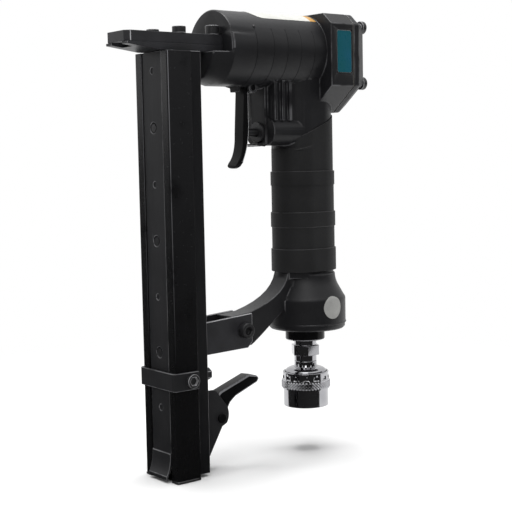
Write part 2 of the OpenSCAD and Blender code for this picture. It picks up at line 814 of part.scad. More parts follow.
module air_nipple() {
    hex_r = hex_af / 2 / cos(30);
    color("#d7d9dc") place() difference() {
        union() {
            rod_z(0, 0, thread_r, coupler_top - coupler_flange_h + 1, base_z + end_cap_t);
            rod_z(0, 0, nipple_r, coupler_top, collar_z);
            translate([0, 0, hex_z]) cylinder(r = hex_r, h = hex_h, $fn = 6);
        }
        rod_z(0, 0, air_r, coupler_top - coupler_flange_h, base_z + end_cap_t + cut);
    }
}

// Coupler's tube under a domed shoulder with a short neck
module coupler_body() {
    foot = coupler_top - coupler_flange_h;
    shoulder = coupler_top - coupler_shoulder_h;
    crown = coupler_top - coupler_crown_h;
    edge = 0.4;
    color("#cfd1d4") place() difference() {
        union() {
            turned_z(0, 0)
                polygon(concat([[0, foot], [coupler_flange_r - edge, foot], [coupler_flange_r, foot + edge]],
                    bend([coupler_flange_r, shoulder], [coupler_flange_r, crown - 0.6], [nipple_r, crown]),
                    [[nipple_r, coupler_top], [0, coupler_top]]));
            rod_z(0, 0, tube_r, coupler_mouth, foot + cut);
        }
        rod_z(0, 0, inlet_r, coupler_mouth - cut, coupler_mouth + inlet_depth);
        rod_z(0, 0, air_r, coupler_mouth, coupler_top);
        rod_z(0, 0, thread_r + seat_gap, foot + cut, coupler_top + cut);
    }
}

module coupler_clip() {
    color("#77797c") place() turned_z(0, clip_z) ring_profile(tube_r, sleeve_room_r - slide_gap, 0, clip_t);
}

module coupler_spring() {
    z0 = sleeve_z + sleeve_land;
    mean_r = (tube_r + sleeve_room_r) / 2;
    color("#9a9da0") place() translate([0, 0, z0 + 0.1])
        coil(mean_r, coupler_spring_wire, clip_z - z0 - 0.2, 2);
}

// Sleeve with its knurled ring, and a slotted skirt that runs over the coupler's shoulder
module coupler_sleeve() {
    knurl_z = sleeve_top - knurl_h;
    land_r = tube_r + 0.08;
    slots = 14;
    slot_w = 3;
    slot_h = 1.8;
    slot_depth = 0.6;
    color("#c4c6c9") place() difference() {
        turned_z(0, 0) {
            ring_profile(land_r, sleeve_r, sleeve_z, sleeve_z + sleeve_land);
            ring_profile(sleeve_room_r, sleeve_r, sleeve_z, sleeve_top - sleeve_land / 2);
            ring_profile(sleeve_room_r, knurl_r, knurl_z, sleeve_top);
            ring_profile(land_r, knurl_r, sleeve_top - sleeve_land / 2, sleeve_top);
            ring_profile(coupler_flange_r + skirt_gap, skirt_r, sleeve_top - cut, sleeve_top + skirt_h);
        }
        for (i = [0 : slots - 1]) rotate([0, 0, i * 360 / slots])
            translate([skirt_r - slot_depth, -slot_w / 2, sleeve_top + 0.6])
                cube([2 * slot_depth, slot_w, slot_h]);
    }
}

// Magazine

module fixed_magazine() {
    color("#161616") place() difference() {
        translate([0, 0, fixed_foot]) linear_extrude(guide_z - fixed_foot) {
            translate([-mag_back - sheet_t, -fixed_hw]) square([sheet_t, 2 * fixed_hw]);
            for (side = [0, 1]) mirror([0, side]) {
                translate([-fixed_front, fixed_hw - sheet_t]) square([fixed_front - mag_back, sheet_t]);
                translate([-fixed_front, fixed_hw - sheet_t])
                    square([sheet_t, fixed_flange - fixed_hw + sheet_t]);
            }
        }
        block(-mag_back - sheet_t - cut, -mag_back + cut, latch_hw + slide_gap, 3, 9);
        translate([0, -stop_y, 0]) rod_x(-mag_back - sheet_t - cut, -mag_back + cut, 1.5 + seat_gap, stop_z);
    }
}

// Holes for the rivets behind every second dimple
module rivet_holes(x0, x1) {
    for (i = [1 : 2 : dimple_count - 1])
        rod_x(x0 - cut, x1 + cut, rivet_r + seat_gap, dimple_low + i * dimple_pitch);
}

module slide_cover() {
    color("#141414") place() difference() {
        linear_extrude(cover_top) difference() {
            round_rect([-cover_front, -cover_hw], [-cover_rear + corner_r, cover_hw], corner_r);
            translate([-cover_rear, -cover_hw - cut]) square([2 * corner_r, 2 * (cover_hw + cut)]);
            translate([-cover_front - cut, -strip_hw - groove_w])
                square([web_x + cover_front + cut, 2 * (strip_hw + groove_w)]);
            translate([web_rear, -cover_hw + sheet_t])
                square([-cover_rear - sheet_t - web_rear, 2 * (cover_hw - sheet_t)]);
            translate([-cover_rear - sheet_t - cut, -fixed_hw - slide_gap])
                square([sheet_t + 2 * cut, 2 * (fixed_hw + slide_gap)]);
        }
        rivet_holes(web_x, web_rear);
    }
}

// Centre strip with its row of dimples, small and large in turn, and the finger tab
module slide_strip() {
    tab_top = 15;
    tab_lip = 0.6;
    tab_out = 4.2;
    tab_foot = 1.4;
    outer = bend([-strip_t - tab_lip, tab_top - tab_lip], [-strip_t - tab_lip, 7], [-tab_out, tab_foot + 2]);
    inner = bend([-tab_out + strip_t, tab_foot + 2], [-strip_t + 0.5, 6.6], [0, tab_top - 3]);
    color("#1d1d1e") place() difference() {
        union() {
            block(web_x - strip_t, web_x, strip_hw, tab_top - cut, strip_top);
            slab_y(-strip_hw, strip_hw)
                translate([web_x, 0])
                    polygon(concat([[0, tab_top], [-strip_t, tab_top]], outer,
                        [[-tab_out, tab_foot], [-tab_out + strip_t, tab_foot]], inner));
        }
        for (i = [0 : dimple_count - 1])
            rod_x(web_x - strip_t - cut, web_x - strip_t / 2, i % 2 == 0 ? 1.6 : 2.8,
                dimple_low + i * dimple_pitch);
        rivet_holes(web_x - strip_t, web_x);
    }
}

module strip_rivets() {
    color("#3b3b3d") place()
        for (i = [1 : 2 : dimple_count - 1]) {
            z = dimple_low + i * dimple_pitch;
            rod_x(web_x - strip_t / 2, web_rear + rail_t, rivet_r, z);
            rod_x(web_x - strip_t / 2 - 0.35, web_x - strip_t / 2, 2, z);
        }
}

module staple_rail() {
    color("#85888c") place() difference() {
        block(web_rear, rail_end, rail_hw, tail_h, cover_top - 0.3);
        block(web_rear + rail_t, rail_end + cut, rail_hw - rail_t, tail_h - cut, cover_top + cut);
        rivet_holes(web_rear, web_rear + rail_t);
    }
}

module tail_block() {
    color("#191919") place() block(web_rear, tail_rear, tail_hw, 0.5, tail_h);
}

module strap_band() {
    outer = cover_hw + strap_t;
    color("#232325") place() difference() {
        translate([0, 0, strap_z]) linear_extrude(strap_h) difference() {
            round_rect([-cover_front - strap_t, -outer], [-strap_rear + 2 * corner_r, outer],
                corner_r + strap_t);
            round_rect([-cover_front, -cover_hw], [-strap_rear + 4 * corner_r, cover_hw], corner_r);
            translate([-strap_rear, -outer - cut]) square([4 * corner_r, 2 * (outer + cut)]);
        }
        rod_y(strap_screw_x, strap_z + strap_h / 2, 1.5 + seat_gap, -outer - cut, outer + cut);
    }
}

module strap_screws() {
    inner = cover_hw;
    outer = cover_hw + strap_t;
    head_r = 3.5;
    head_h = 1.8;
    z = strap_z + strap_h / 2;
    color("#3a3a3c") place()
        for (side = [0, 1]) mirror([0, side, 0]) difference() {
            union() {
                rod_y(strap_screw_x, z, 1.5, inner, outer);
                rod_y(strap_screw_x, z, head_r, outer, outer + head_h);
            }
            translate([strap_screw_x, outer + head_h / 2, z]) rotate([-90, 0, 0])
                cylinder(r = head_r - 1.2, h = head_h, $fn = 6);
        }
}

// Pusher that straddles the rail, with a tongue inside it
module pusher() {
    bridge = 1.2;
    wall = pusher_hw - rail_hw - 0.4;
    bridge_x = rail_end + slide_gap;
    color("#6c6f73") place() {
        block(bridge_x, bridge_x + bridge, pusher_hw, pusher_z, pusher_top);
        for (side = [0, 1]) mirror([0, side, 0])
            translate([web_rear + 1.6, pusher_hw - wall, pusher_z])
                cube([bridge_x - web_rear - 1.6, wall, pusher_h]);
        block(web_rear + rail_t + 1.2, bridge_x, rail_hw - rail_t - 0.6, pusher_z, pusher_top);
    }
}

module pusher_spring() {
    color("#9a9da0") place() translate([push_spring_x, 0, tail_h + 0.1])
        coil(push_spring_r, push_spring_wire, pusher_z - tail_h - 0.2, spring_curls);
}

// Bracket and latch

module magazine_bracket() {
    rear_cut = 3;
    color("#2c2c2d") place() difference() {
        union() {
            block(-mag_back, -mag_back + bracket_t, bracket_hw, bracket_z, bracket_top - 1);
            pair_y(bracket_in, bracket_hw)
                polygon([[-mag_back, bracket_z], [bracket_rear - rear_cut, bracket_z + 1],
                    [bracket_rear, bracket_z + 1 + rear_cut], [bracket_rear, bracket_top + 1],
                    [-mag_back + bracket_t, bracket_top - 1], [-mag_back, bracket_top - 1]]);
        }
        rod_y(bolt_x, bolt_z, bolt_r + seat_gap, -bracket_hw - cut, bracket_hw + cut);
    }
}

module bracket_bolt() {
    head_r = bolt_r + 1.5;
    head_h = 4;
    color("#2a2a2c") place() difference() {
        union() {
            rod_y(bolt_x, bolt_z, bolt_r, -bracket_hw, bracket_hw + 4.5);
            rod_y(bolt_x, bolt_z, head_r, -bracket_hw - head_h, -bracket_hw);
        }
        translate([bolt_x, -bracket_hw - head_h - cut, bolt_z]) rotate([-90, 0, 0])
            cylinder(r = bolt_r - 0.2, h = cut + 2.2, $fn = 6);
    }
}

module bracket_nut() {
    color("#2f2f31") place() difference() {
        translate([bolt_x, bracket_hw, bolt_z]) rotate([-90, 0, 0])
            cylinder(r = bolt_r + 2.1, h = 4, $fn = 6);
        rod_y(bolt_x, bolt_z, bolt_r + seat_gap, bracket_hw - cut, bracket_hw + 4 + cut);
    }
}

module latch_bracket() {
    foot = latch_z - 19;
    top = latch_z + 15.5;
    color("#1a1a1a") place() difference() {
        union() {
            block(-mag_back, latch_web_rear, ear_in + ear_t, foot, top);
            pair_y(ear_in, ear_in + ear_t)
                polygon(concat([[-mag_back, foot], [latch_x - 8, foot], [latch_x + 0.6, latch_z - 4.4]],
                    bend([latch_x + 3.6, latch_z - 3], [latch_x + 6, latch_z + 1],
                        [latch_x + 4.2, latch_z + 5.6]),
                    bend([latch_x - 2.6, latch_z + 14.4], [latch_x - 3.4, top], [latch_x - 6, top]),
                    [[-mag_back, top]]));
        }
        rod_y(latch_x, latch_z, latch_pin_r + seat_gap, -ear_in - ear_t - cut, ear_in + ear_t + cut);
    }
}

// Lever with a paddle for the thumb, a toe under the cover's tail and a finger for the spring
module latch_lever() {
    toe_x = -mag_back - 0.9 - latch_x;
    color("#232323") place() difference() {
        union() {
            rod_y(latch_x, latch_z, 3.3, -latch_hw, latch_hw);
            slab_y(-latch_hw, latch_hw)
                translate([latch_x, latch_z])
                    polygon([[-4.1, 9.4], [-1, 11.5], [1.2, 13.5], [19.7, 20], [25.2, 19], [26.6, 17.4],
                        [25.2, 15.4], [10.7, 9.8], [7.2, 7], [3.2, 0], [1.5, -3], [-6, -15.6], [-8.8, -22],
                        [toe_x, -22], [toe_x, -20], [-10, -19.6], [-8.2, -13.6], [-3.2, 0], [-4.1, 4]]);
        }
        rod_y(latch_x, latch_z, latch_pin_r + run_gap, -latch_hw - cut, latch_hw + cut);
    }
}

module latch_pin() {
    half = ear_in + ear_t;
    color("#8d9094") place() {
        rod_y(latch_x, latch_z, latch_pin_r, -half, half);
        rod_y(latch_x, latch_z, latch_pin_r + 0.9, -half - 1, -half);
        rod_y(latch_x, latch_z, latch_pin_r + 0.9, half, half + 1);
    }
}

module latch_spring() {
    color("#9a9da0") place() translate([latch_web_rear + 0.1, 0, latch_spring_z]) rotate([0, 90, 0])
        coil(1.6, 0.6, latch_spring_end - latch_web_rear - 0.2, 4);
}

// Screw in the back of the fixed channel that stops the cover's travel
module stop_screw() {
    color("#2a2a2c") place() translate([0, -stop_y, 0]) {
        rod_x(-mag_back - sheet_t, -mag_back, 1.5, stop_z);
        translate([-mag_back, 0, stop_z]) rotate([0, 90, 0]) cylinder(r = 3.2, h = 3.6, $fn = 6);
    }
}

gun_body();
cylinder_liner();
liner_seals();
bumper();
head_gasket();
head_cap();
cap_screws();
nose_plate();
driver_guide();
nose_screws();
piston();
piston_ring();
driver_blade();
driver_pin();
head_valve();
head_valve_seal();
head_valve_spring();
trigger();
trigger_pin();
valve_body();
valve_stem();
valve_spring();
grip_sleeve();
end_cap();
inlet_collar();
air_nipple();
coupler_body();
coupler_clip();
coupler_spring();
coupler_sleeve();
fixed_magazine();
slide_cover();
slide_strip();
strip_rivets();
staple_rail();
tail_block();
strap_band();
strap_screws();
pusher();
pusher_spring();
magazine_bracket();
bracket_bolt();
bracket_nut();
latch_bracket();
latch_lever();
latch_pin();
latch_spring();
stop_screw();
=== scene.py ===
"""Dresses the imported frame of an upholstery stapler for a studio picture.

Sizes are in millimetres in the part's own frame, and turn to metres where a mesh is made.
"""
from __future__ import annotations

import json
import logging
import math
from dataclasses import dataclass, field
from enum import Enum
from itertools import combinations
from typing import Any

import bmesh
import bpy
from mathutils import Matrix, Vector
from mathutils.bvhtree import BVHTree
from mathutils.geometry import intersect_line_line_2d

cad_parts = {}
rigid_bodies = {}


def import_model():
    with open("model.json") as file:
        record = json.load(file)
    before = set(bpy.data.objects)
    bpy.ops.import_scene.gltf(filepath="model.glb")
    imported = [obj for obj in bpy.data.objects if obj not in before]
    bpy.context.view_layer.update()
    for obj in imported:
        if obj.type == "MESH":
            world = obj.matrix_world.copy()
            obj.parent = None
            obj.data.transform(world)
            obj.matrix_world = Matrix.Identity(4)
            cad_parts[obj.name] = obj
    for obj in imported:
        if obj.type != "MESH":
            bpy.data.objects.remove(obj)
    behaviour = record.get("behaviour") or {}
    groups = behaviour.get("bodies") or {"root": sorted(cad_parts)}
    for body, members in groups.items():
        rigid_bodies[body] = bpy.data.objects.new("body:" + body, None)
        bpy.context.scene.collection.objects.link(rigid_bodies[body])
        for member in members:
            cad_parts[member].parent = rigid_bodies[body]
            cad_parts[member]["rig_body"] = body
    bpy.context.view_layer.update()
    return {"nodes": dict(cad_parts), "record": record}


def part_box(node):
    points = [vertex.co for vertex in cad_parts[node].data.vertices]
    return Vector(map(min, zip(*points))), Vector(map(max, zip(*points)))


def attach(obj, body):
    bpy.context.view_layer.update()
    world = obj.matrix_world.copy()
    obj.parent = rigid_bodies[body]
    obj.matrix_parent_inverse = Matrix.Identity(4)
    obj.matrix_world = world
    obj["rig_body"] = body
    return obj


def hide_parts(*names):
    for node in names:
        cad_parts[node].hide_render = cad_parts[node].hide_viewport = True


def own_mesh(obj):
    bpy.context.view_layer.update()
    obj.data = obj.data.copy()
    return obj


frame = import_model()
LOG = logging.getLogger("stapler")
MM = 0.001
# Faces marked with this attribute take a light colour: painted highlight on eased edges and on faces that
# look one way, partly edge wear.
WEAR_AND_HIGHLIGHT = "wear_and_highlight"
SLOTS = {row["node"]: row["material_slot"] for row in frame["record"]["subparts"]}
BODY_SLOT = "body_paint"
# Points nearer than the first are welded, and edges shorter than the second are dropped.
WELD = 0.001 * MM
SLIVER = 0.0005 * MM
# Faces that meet within this angle are one flat.
FLAT_DEG = 0.4
# An edge is eased where it turns more than this, and both its faces are so many times wider than the easing.
SHARP_DEG = 30.0
ROOM = 2.2
# The part of a noise's range that grain and patches are drawn from.
GRAIN_SPAN = (0.3, 0.7)
PATCH_SPAN = (0.32, 0.68)
# Marked faces show their light colour, painted highlight and partly edge wear, where patches rise through
# this span, which a larger share lowers.
WEAR_AND_HIGHLIGHT_SPAN = (0.6, 0.8)
WEAR_AND_HIGHLIGHT_REACH = 0.4


def linear(colour: str) -> tuple[float, float, float, float]:
    """Turns an sRGB hex colour to linear light.

    Args:
        colour: six hex digits after a hash sign.

    Returns:
        Red, green, blue and an alpha of 1.
    """
    levels = [int(colour[i:i + 2], 16) / 255 for i in (1, 3, 5)]
    red, green, blue = (v / 12.92 if v <= 0.04045 else ((v + 0.055) / 1.055) ** 2.4 for v in levels)
    return red, green, blue, 1.0


def add_node(tree: bpy.types.NodeTree, kind: str, inputs: dict[str | int, Any] | None = None,
             **settings: Any) -> bpy.types.Node:
    """Adds a node with its settings and links.

    Args:
        tree: the material's or world's node tree.
        kind: the node's type name.
        inputs: a value or another node's output for each named or numbered input.
        settings: the node's own properties.

    Returns:
        The new node.
    """
    node = tree.nodes.new(kind)
    for key, value in settings.items():
        setattr(node, key, value)
    for key, value in (inputs or {}).items():
        if isinstance(value, bpy.types.NodeSocket):
            tree.links.new(value, node.inputs[key])
        else:
            node.inputs[key].default_value = value
    return node


def body_of(node: str) -> str:
    """Returns the body that a CAD node is part of."""
    return frame["nodes"][node]["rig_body"]


def width_beside(face: bmesh.types.BMFace, edge: bmesh.types.BMEdge) -> float:
    """Measures how much room a face leaves beside an edge.

    Args:
        face: the face.
        edge: one of its edges.

    Returns:
        The face's mean width, in metres.
    """
    if len(face.verts) > 4:
        return 2 * face.calc_area() / face.calc_perimeter()
    return face.calc_area() / edge.calc_length()


def crossing(face: bmesh.types.BMFace) -> tuple[list[bmesh.types.BMVert], Vector] | None:
    """Finds the shortest loop where a face's outline crosses itself.

    Args:
        face: the face.

    Returns:
        The loop's vertices and the place of the crossing, or None.
    """
    across = face.normal.orthogonal().normalized()
    along = face.normal.cross(across)
    verts = list(face.verts)
    flat = [Vector((v.co.dot(across), v.co.dot(along))) / MM for v in verts]
    count = len(flat)
    best: tuple[int, int, int, Vector] | None = None
    for i, j in combinations(range(count), 2):
        gap = min(j - i, count - j + i)
        if gap < 2 or (best and gap >= best[0]):
            continue
        at = intersect_line_line_2d(flat[i], flat[i + 1], flat[j], flat[(j + 1) % count])
        if at is not None:
            best = (gap, i, j, at)
    if best is None:
        return None
    gap, i, j, at = best
    loop = verts[i + 1:j + 1] if j - i == gap else verts[j + 1:] + verts[:i + 1]
    level = face.normal * verts[0].co.dot(face.normal)
    return loop, (across * at.x + along * at.y) * MM + level


def uncross(work: bmesh.types.BMesh, longest: int = 16, rounds: int = 4) -> None:
    """Draws together the small loops that easing leaves in tight corners.

    Args:
        work: the eased mesh.
        longest: loops of more vertices than this are left.
        rounds: how often it looks again.
    """
    for _ in range(rounds):
        work.normal_update()
        joined: dict[bmesh.types.BMVert, bmesh.types.BMVert] = {}
        for face in work.faces:
            found = crossing(face) if len(face.verts) > 3 else None
            if found is None or len(found[0]) > longest or any(v in joined for v in found[0]):
                continue
            joined.update({v: found[0][0] for v in found[0]})
            found[0][0].co = found[1]
        if not joined:
            return
        bmesh.ops.weld_verts(work, targetmap={v: keep for v, keep in joined.items() if v is not keep})
        bmesh.ops.dissolve_degenerate(work, dist=SLIVER, edges=work.edges)


def to_ease(work: bmesh.types.BMesh, width_mm: float, convex_only: bool) -> list[bmesh.types.BMEdge]:
    """Picks the edges that can be eased.

    Args:
        work: the mesh.
        width_mm: how far the easing cuts back from each edge.
        convex_only: leaves inner corners sharp.

    Returns:
        The edges whose two faces leave room.
    """
    return [edge for edge in work.edges if len(edge.link_faces) == 2
            and edge.calc_face_angle() > math.radians(SHARP_DEG)
            and (edge.is_convex or not convex_only)
            and all(width_beside(face, edge) > ROOM * width_mm * MM for face in edge.link_faces)]


class Along(Enum):
    """The way that a surface's grain is drawn out."""

    EVEN = (1.0, 1.0, 1.0)
    X = (0.06, 1.0, 1.0)
    Z = (1.0, 1.0, 0.06)


@dataclass(frozen=True)
class Finish:
    """A surface whose colour, gloss and relief wander over the piece.

    Where a light colour for marked faces is given, they show it in patches: painted highlight on eased edges
    and on faces that look one way, partly edge wear. With two heights given, that colour fades in from
    nothing at the first to all of it at the second, so the piece is painted lighter toward the top, and the
    sheen share is a painted sheen on faces that aren't marked.
    """

    name: str
    colour: str
    second: str
    patch_mm: float
    roughness: tuple[float, float]
    grain_mm: float
    relief_mm: float
    metallic: float = 0.0
    specular: float = 0.5
    wear_and_highlight_colour: str = ""
    wear_and_highlight_share: float = 0.5
    along: Along = Along.EVEN
    highlight_from: tuple[float, float] | None = None
    painted_sheen: float = 0.0

    def build(self) -> bpy.types.Material:
        """Returns the material, which is made once and then shared."""
        made = bpy.data.materials.get(self.name)
        if made:
            return made
        material = bpy.data.materials.new(self.name)
        material.use_nodes = True
        tree = material.node_tree
        shader = tree.nodes["Principled BSDF"]
        shader.inputs["Metallic"].default_value = self.metallic
        shader.inputs["Specular IOR Level"].default_value = self.specular
        place = add_node(tree, "ShaderNodeTexCoord").outputs["Object"]
        grain = self.grain(tree, place)
        tree.links.new(self.paint(tree, place), shader.inputs["Base Color"])
        low, high = self.roughness
        gloss = add_node(tree, "ShaderNodeMapRange", {
            "Value": grain, "From Min": GRAIN_SPAN[0], "From Max": GRAIN_SPAN[1], "To Min": low,
            "To Max": high})
        tree.links.new(gloss.outputs["Result"], shader.inputs["Roughness"])
        bump = add_node(tree, "ShaderNodeBump", {
            "Height": grain, "Strength": 1.0, "Distance": self.relief_mm * MM})
        tree.links.new(bump.outputs["Normal"], shader.inputs["Normal"])
        return material

    def grain(self, tree: bpy.types.NodeTree, place: bpy.types.NodeSocket) -> bpy.types.NodeSocket:
        """Draws the fine grain.

        Args:
            tree: the material's node tree.
            place: the Object coordinates.

        Returns:
            The grain's height, from 0 to 1.
        """
        turned = add_node(tree, "ShaderNodeMapping", {"Vector": place, "Scale": self.along.value})
        noise = add_node(tree, "ShaderNodeTexNoise", {
            "Vector": turned.outputs["Vector"], "Scale": 1 / (self.grain_mm * MM), "Detail": 3.0,
            "Roughness": 0.55})
        return noise.outputs["Fac"]

    def paint(self, tree: bpy.types.NodeTree, place: bpy.types.NodeSocket) -> bpy.types.NodeSocket:
        """Mixes the two colours in soft patches, and lays the light colour on marked faces: painted
        highlight, partly edge wear.

        Args:
            tree: the material's node tree.
            place: the Object coordinates.

        Returns:
            The colour.
        """
        patches = add_node(tree, "ShaderNodeTexNoise", {
            "Vector": place, "Scale": 1 / (self.patch_mm * MM), "Detail": 4.0, "Roughness": 0.6})
        share = add_node(tree, "ShaderNodeMapRange", {
            "Value": patches.outputs["Fac"], "From Min": PATCH_SPAN[0], "From Max": PATCH_SPAN[1]})
        mixed = add_node(tree, "ShaderNodeMix", {
            0: share.outputs["Result"], 6: linear(self.colour), 7: linear(self.second)}, data_type="RGBA")
        if not self.wear_and_highlight_colour:
            return mixed.outputs[2]
        # Marked faces take the light colour in patches: painted highlight, partly edge wear.
        edge = add_node(tree, "ShaderNodeAttribute", attribute_name=WEAR_AND_HIGHLIGHT).outputs["Fac"]
        # Painted sheen and highlight: the light colour fades in with height, so the piece is lighter toward
        # the top.
        if self.highlight_from:
            height = add_node(tree, "ShaderNodeSeparateXYZ", {"Vector": place}).outputs["Z"]
            fade = add_node(tree, "ShaderNodeMapRange", {
                "Value": height, "From Min": self.highlight_from[0] * MM, "From Max": self.highlight_from[1] * MM})
            edge = add_node(tree, "ShaderNodeMath", {0: edge, 1: self.painted_sheen}, operation="MAXIMUM").outputs[0]
            edge = add_node(tree, "ShaderNodeMath", {0: edge, 1: fade.outputs["Result"]},
                            operation="MULTIPLY").outputs[0]
        start, full = (level - WEAR_AND_HIGHLIGHT_REACH * self.wear_and_highlight_share for level in WEAR_AND_HIGHLIGHT_SPAN)
        broken = add_node(tree, "ShaderNodeMapRange", {
            "Value": patches.outputs["Fac"], "From Min": start, "From Max": full, "To Max": edge})
        wear_and_highlight = add_node(tree, "ShaderNodeMix", {
            0: broken.outputs["Result"], 6: mixed.outputs[2], 7: linear(self.wear_and_highlight_colour)}, data_type="RGBA")
        return wear_and_highlight.outputs[2]


# Satin black paint sprayed on die-cast aluminium: soft sheen with a faint orange peel.
# The peel is drawn a little coarser than the real half millimetre, so that it shows.
# Its eased edges take a grey in patches: painted highlight lines, partly edge wear.
CAST_PAINT = Finish("satin_paint_on_cast_aluminium", "#18181a", "#1e1e20", 16, (0.36, 0.46), 1.1, 0.008,
                    specular=0.25, wear_and_highlight_colour="#505052", wear_and_highlight_share=0.5)
# Paint on levers, collars and the magazine's tail: darker and smoother than the casting, with a light grey
# painted on its edges as highlight, partly edge wear.
LEVER_PAINT = Finish("satin_paint_on_small_castings", "#0c0c0d", "#101011", 8, (0.16, 0.24), 0.9, 0.004,
                     specular=0.1, wear_and_highlight_colour="#7c7c7f", wear_and_highlight_share=0.8)
# Paint on the trigger, with near white painted on its near rear edge: a painted highlight, partly bare wear.
TRIGGER_PAINT = Finish("satin_paint_on_trigger", "#0b0b0c", "#0f0f10", 8, (0.28, 0.38), 0.9, 0.004,
                       specular=0.1, wear_and_highlight_colour="#b4b4b6", wear_and_highlight_share=1.2)
# Semi-gloss black stoved on pressed sheet: nearly smooth, so it mirrors the room softly.
# A grey painted sheen lightens it toward the top, where a painted highlight, partly edge wear, runs down its
# near front corner.
SHEET_PAINT = Finish("stoved_enamel_on_sheet_steel", "#0c0c0d", "#0f0f10", 20, (0.22, 0.28), 2.4, 0.002,
                     specular=0.22, wear_and_highlight_colour="#6e6e71", wear_and_highlight_share=0.9, highlight_from=(60, 210), painted_sheen=0.07)
# The same stoving on the thicker channel behind it, dulled by what slides on it.
# Its eased edges take a grey in patches: painted highlight lines, partly edge wear.
CHANNEL_PAINT = Finish("stoved_enamel_on_channel", "#101012", "#141416", 14, (0.34, 0.44), 0.9, 0.004,
                       specular=0.25, wear_and_highlight_colour="#6c6c6e", wear_and_highlight_share=0.7, along=Along.Z)
# Phosphated strip, dark grey with lines left by rolling along its length.
# Its eased edges take a grey in patches: painted highlight lines, partly edge wear.
STRIP_STEEL = Finish("phosphated_rolled_strip", "#1c1c1e", "#222224", 14, (0.4, 0.5), 0.9, 0.004,
                     specular=0.25, wear_and_highlight_colour="#6c6c6e", wear_and_highlight_share=0.7, along=Along.Z)
# Blued tool steel, ground along the nose: dark, with a dull metal sheen.
# Near white painted on its eased edges and on tip faces that look one way: painted glints, partly edge wear.
NOSE_STEEL = Finish("blued_ground_tool_steel", "#252527", "#2d2d30", 10, (0.34, 0.44), 0.9, 0.004,
                    specular=0.3, wear_and_highlight_colour="#a8a8ab", wear_and_highlight_share=0.8, along=Along.X)
# Black oxide on turned screws and the cover's foot: nearly black, with a soft metal glint.
# A light grey on the screws' eased edges is a painted highlight, partly edge wear.
BLACK_OXIDE = Finish("black_oxide_on_screws", "#1a1a1b", "#232325", 3, (0.3, 0.42), 0.6, 0.006,
                     specular=0.4, wear_and_highlight_colour="#88888a", wear_and_highlight_share=0.8)
# Moulded rubber: matt and dusty, with the fine spark grain of the mould.
# The grain is drawn at about one millimetre, so that it shows.
# Its eased edges take a grey in patches: painted highlight on the band edges, partly edge wear.
GRIP_RUBBER = Finish("moulded_rubber", "#1a1a1b", "#202021", 18, (0.52, 0.64), 1.0, 0.012,
                     specular=0.25, wear_and_highlight_colour="#303031", wear_and_highlight_share=0.8)
# Nitrile seals: soft black with a slight grease sheen.
SEAL_RUBBER = Finish("nitrile_rubber", "#141414", "#1e1e1e", 4, (0.4, 0.55), 0.5, 0.01)
# Pressed fibre gasket: grey brown and flecked.
FIBRE_GASKET = Finish("pressed_fibre", "#3a3733", "#4a4640", 1.5, (0.75, 0.9), 0.6, 0.02)
# Bright nickel and chrome: mirror smooth with faint polishing haze.
CHROME_PLATE = Finish("chrome_on_turned_steel", "#acacaf", "#9a9a9d", 9, (0.07, 0.13), 0.7, 0.0015,
                      metallic=1.0)
# Ground bright steel, lined along the driver and the rail.
BRIGHT_STEEL = Finish("ground_bright_steel", "#9b9b9e", "#aeaeb1", 6, (0.2, 0.32), 0.6, 0.004,
                      metallic=1.0, along=Along.Z)
# Drawn spring wire: grey and slightly oiled.
SPRING_STEEL = Finish("drawn_spring_wire", "#77777a", "#8b8b8e", 2, (0.25, 0.36), 0.4, 0.004, metallic=1.0)
# Hard anodised aluminium: grey, satin and even.
ANODISED = Finish("anodised_aluminium", "#8e9194", "#9a9da0", 8, (0.3, 0.42), 0.5, 0.004, metallic=1.0)
# Moulded acetal: dark, waxy and smooth.
ACETAL = Finish("moulded_acetal", "#1d1d1f", "#262628", 5, (0.35, 0.48), 0.6, 0.006)
# Printed film under gloss: teal that runs a little from green to blue.
TEAL_FILM = Finish("teal_printed_film", "#134f56", "#1a5266", 14, (0.25, 0.35), 1.2, 0.002, specular=0.2)
# Ochre film at the label's end: warm and slightly faded.
OCHRE_FILM = Finish("ochre_printed_film", "#a97c33", "#b98c42", 6, (0.4, 0.55), 0.9, 0.003)
# Silver film of the round sticker: grey and satin.
SILVER_FILM = Finish("silver_printed_film", "#8b8b89", "#9a9a97", 5, (0.4, 0.55), 0.9, 0.003)
# Pale paper film: off white with a slight handling haze.
PALE_FILM = Finish("pale_printed_film", "#b9b9b4", "#c6c6c1", 9, (0.4, 0.55), 0.9, 0.003)


@dataclass(frozen=True)
class Bead:
    """A thin rounded line that runs round the side of a node, about an upright axis.

    It starts and ends at two turns in degrees from the near side, with a height at each, and fades
    out at both. With a rise of 1 it climbs evenly, and with more it climbs late. Its sides are sunk
    a little, and rays that start clear of the node find where it lies.
    """

    name: str
    node: str
    finish: Finish
    axis_x: float
    turns: tuple[float, float]
    heights: tuple[float, float]
    half_w: float
    stand: float
    rise: float = 1.5
    sink: float = 0.02
    clear_r: float = 40.0
    step_deg: float = 2.0
    fade_steps: int = 20
    facets: int = 6


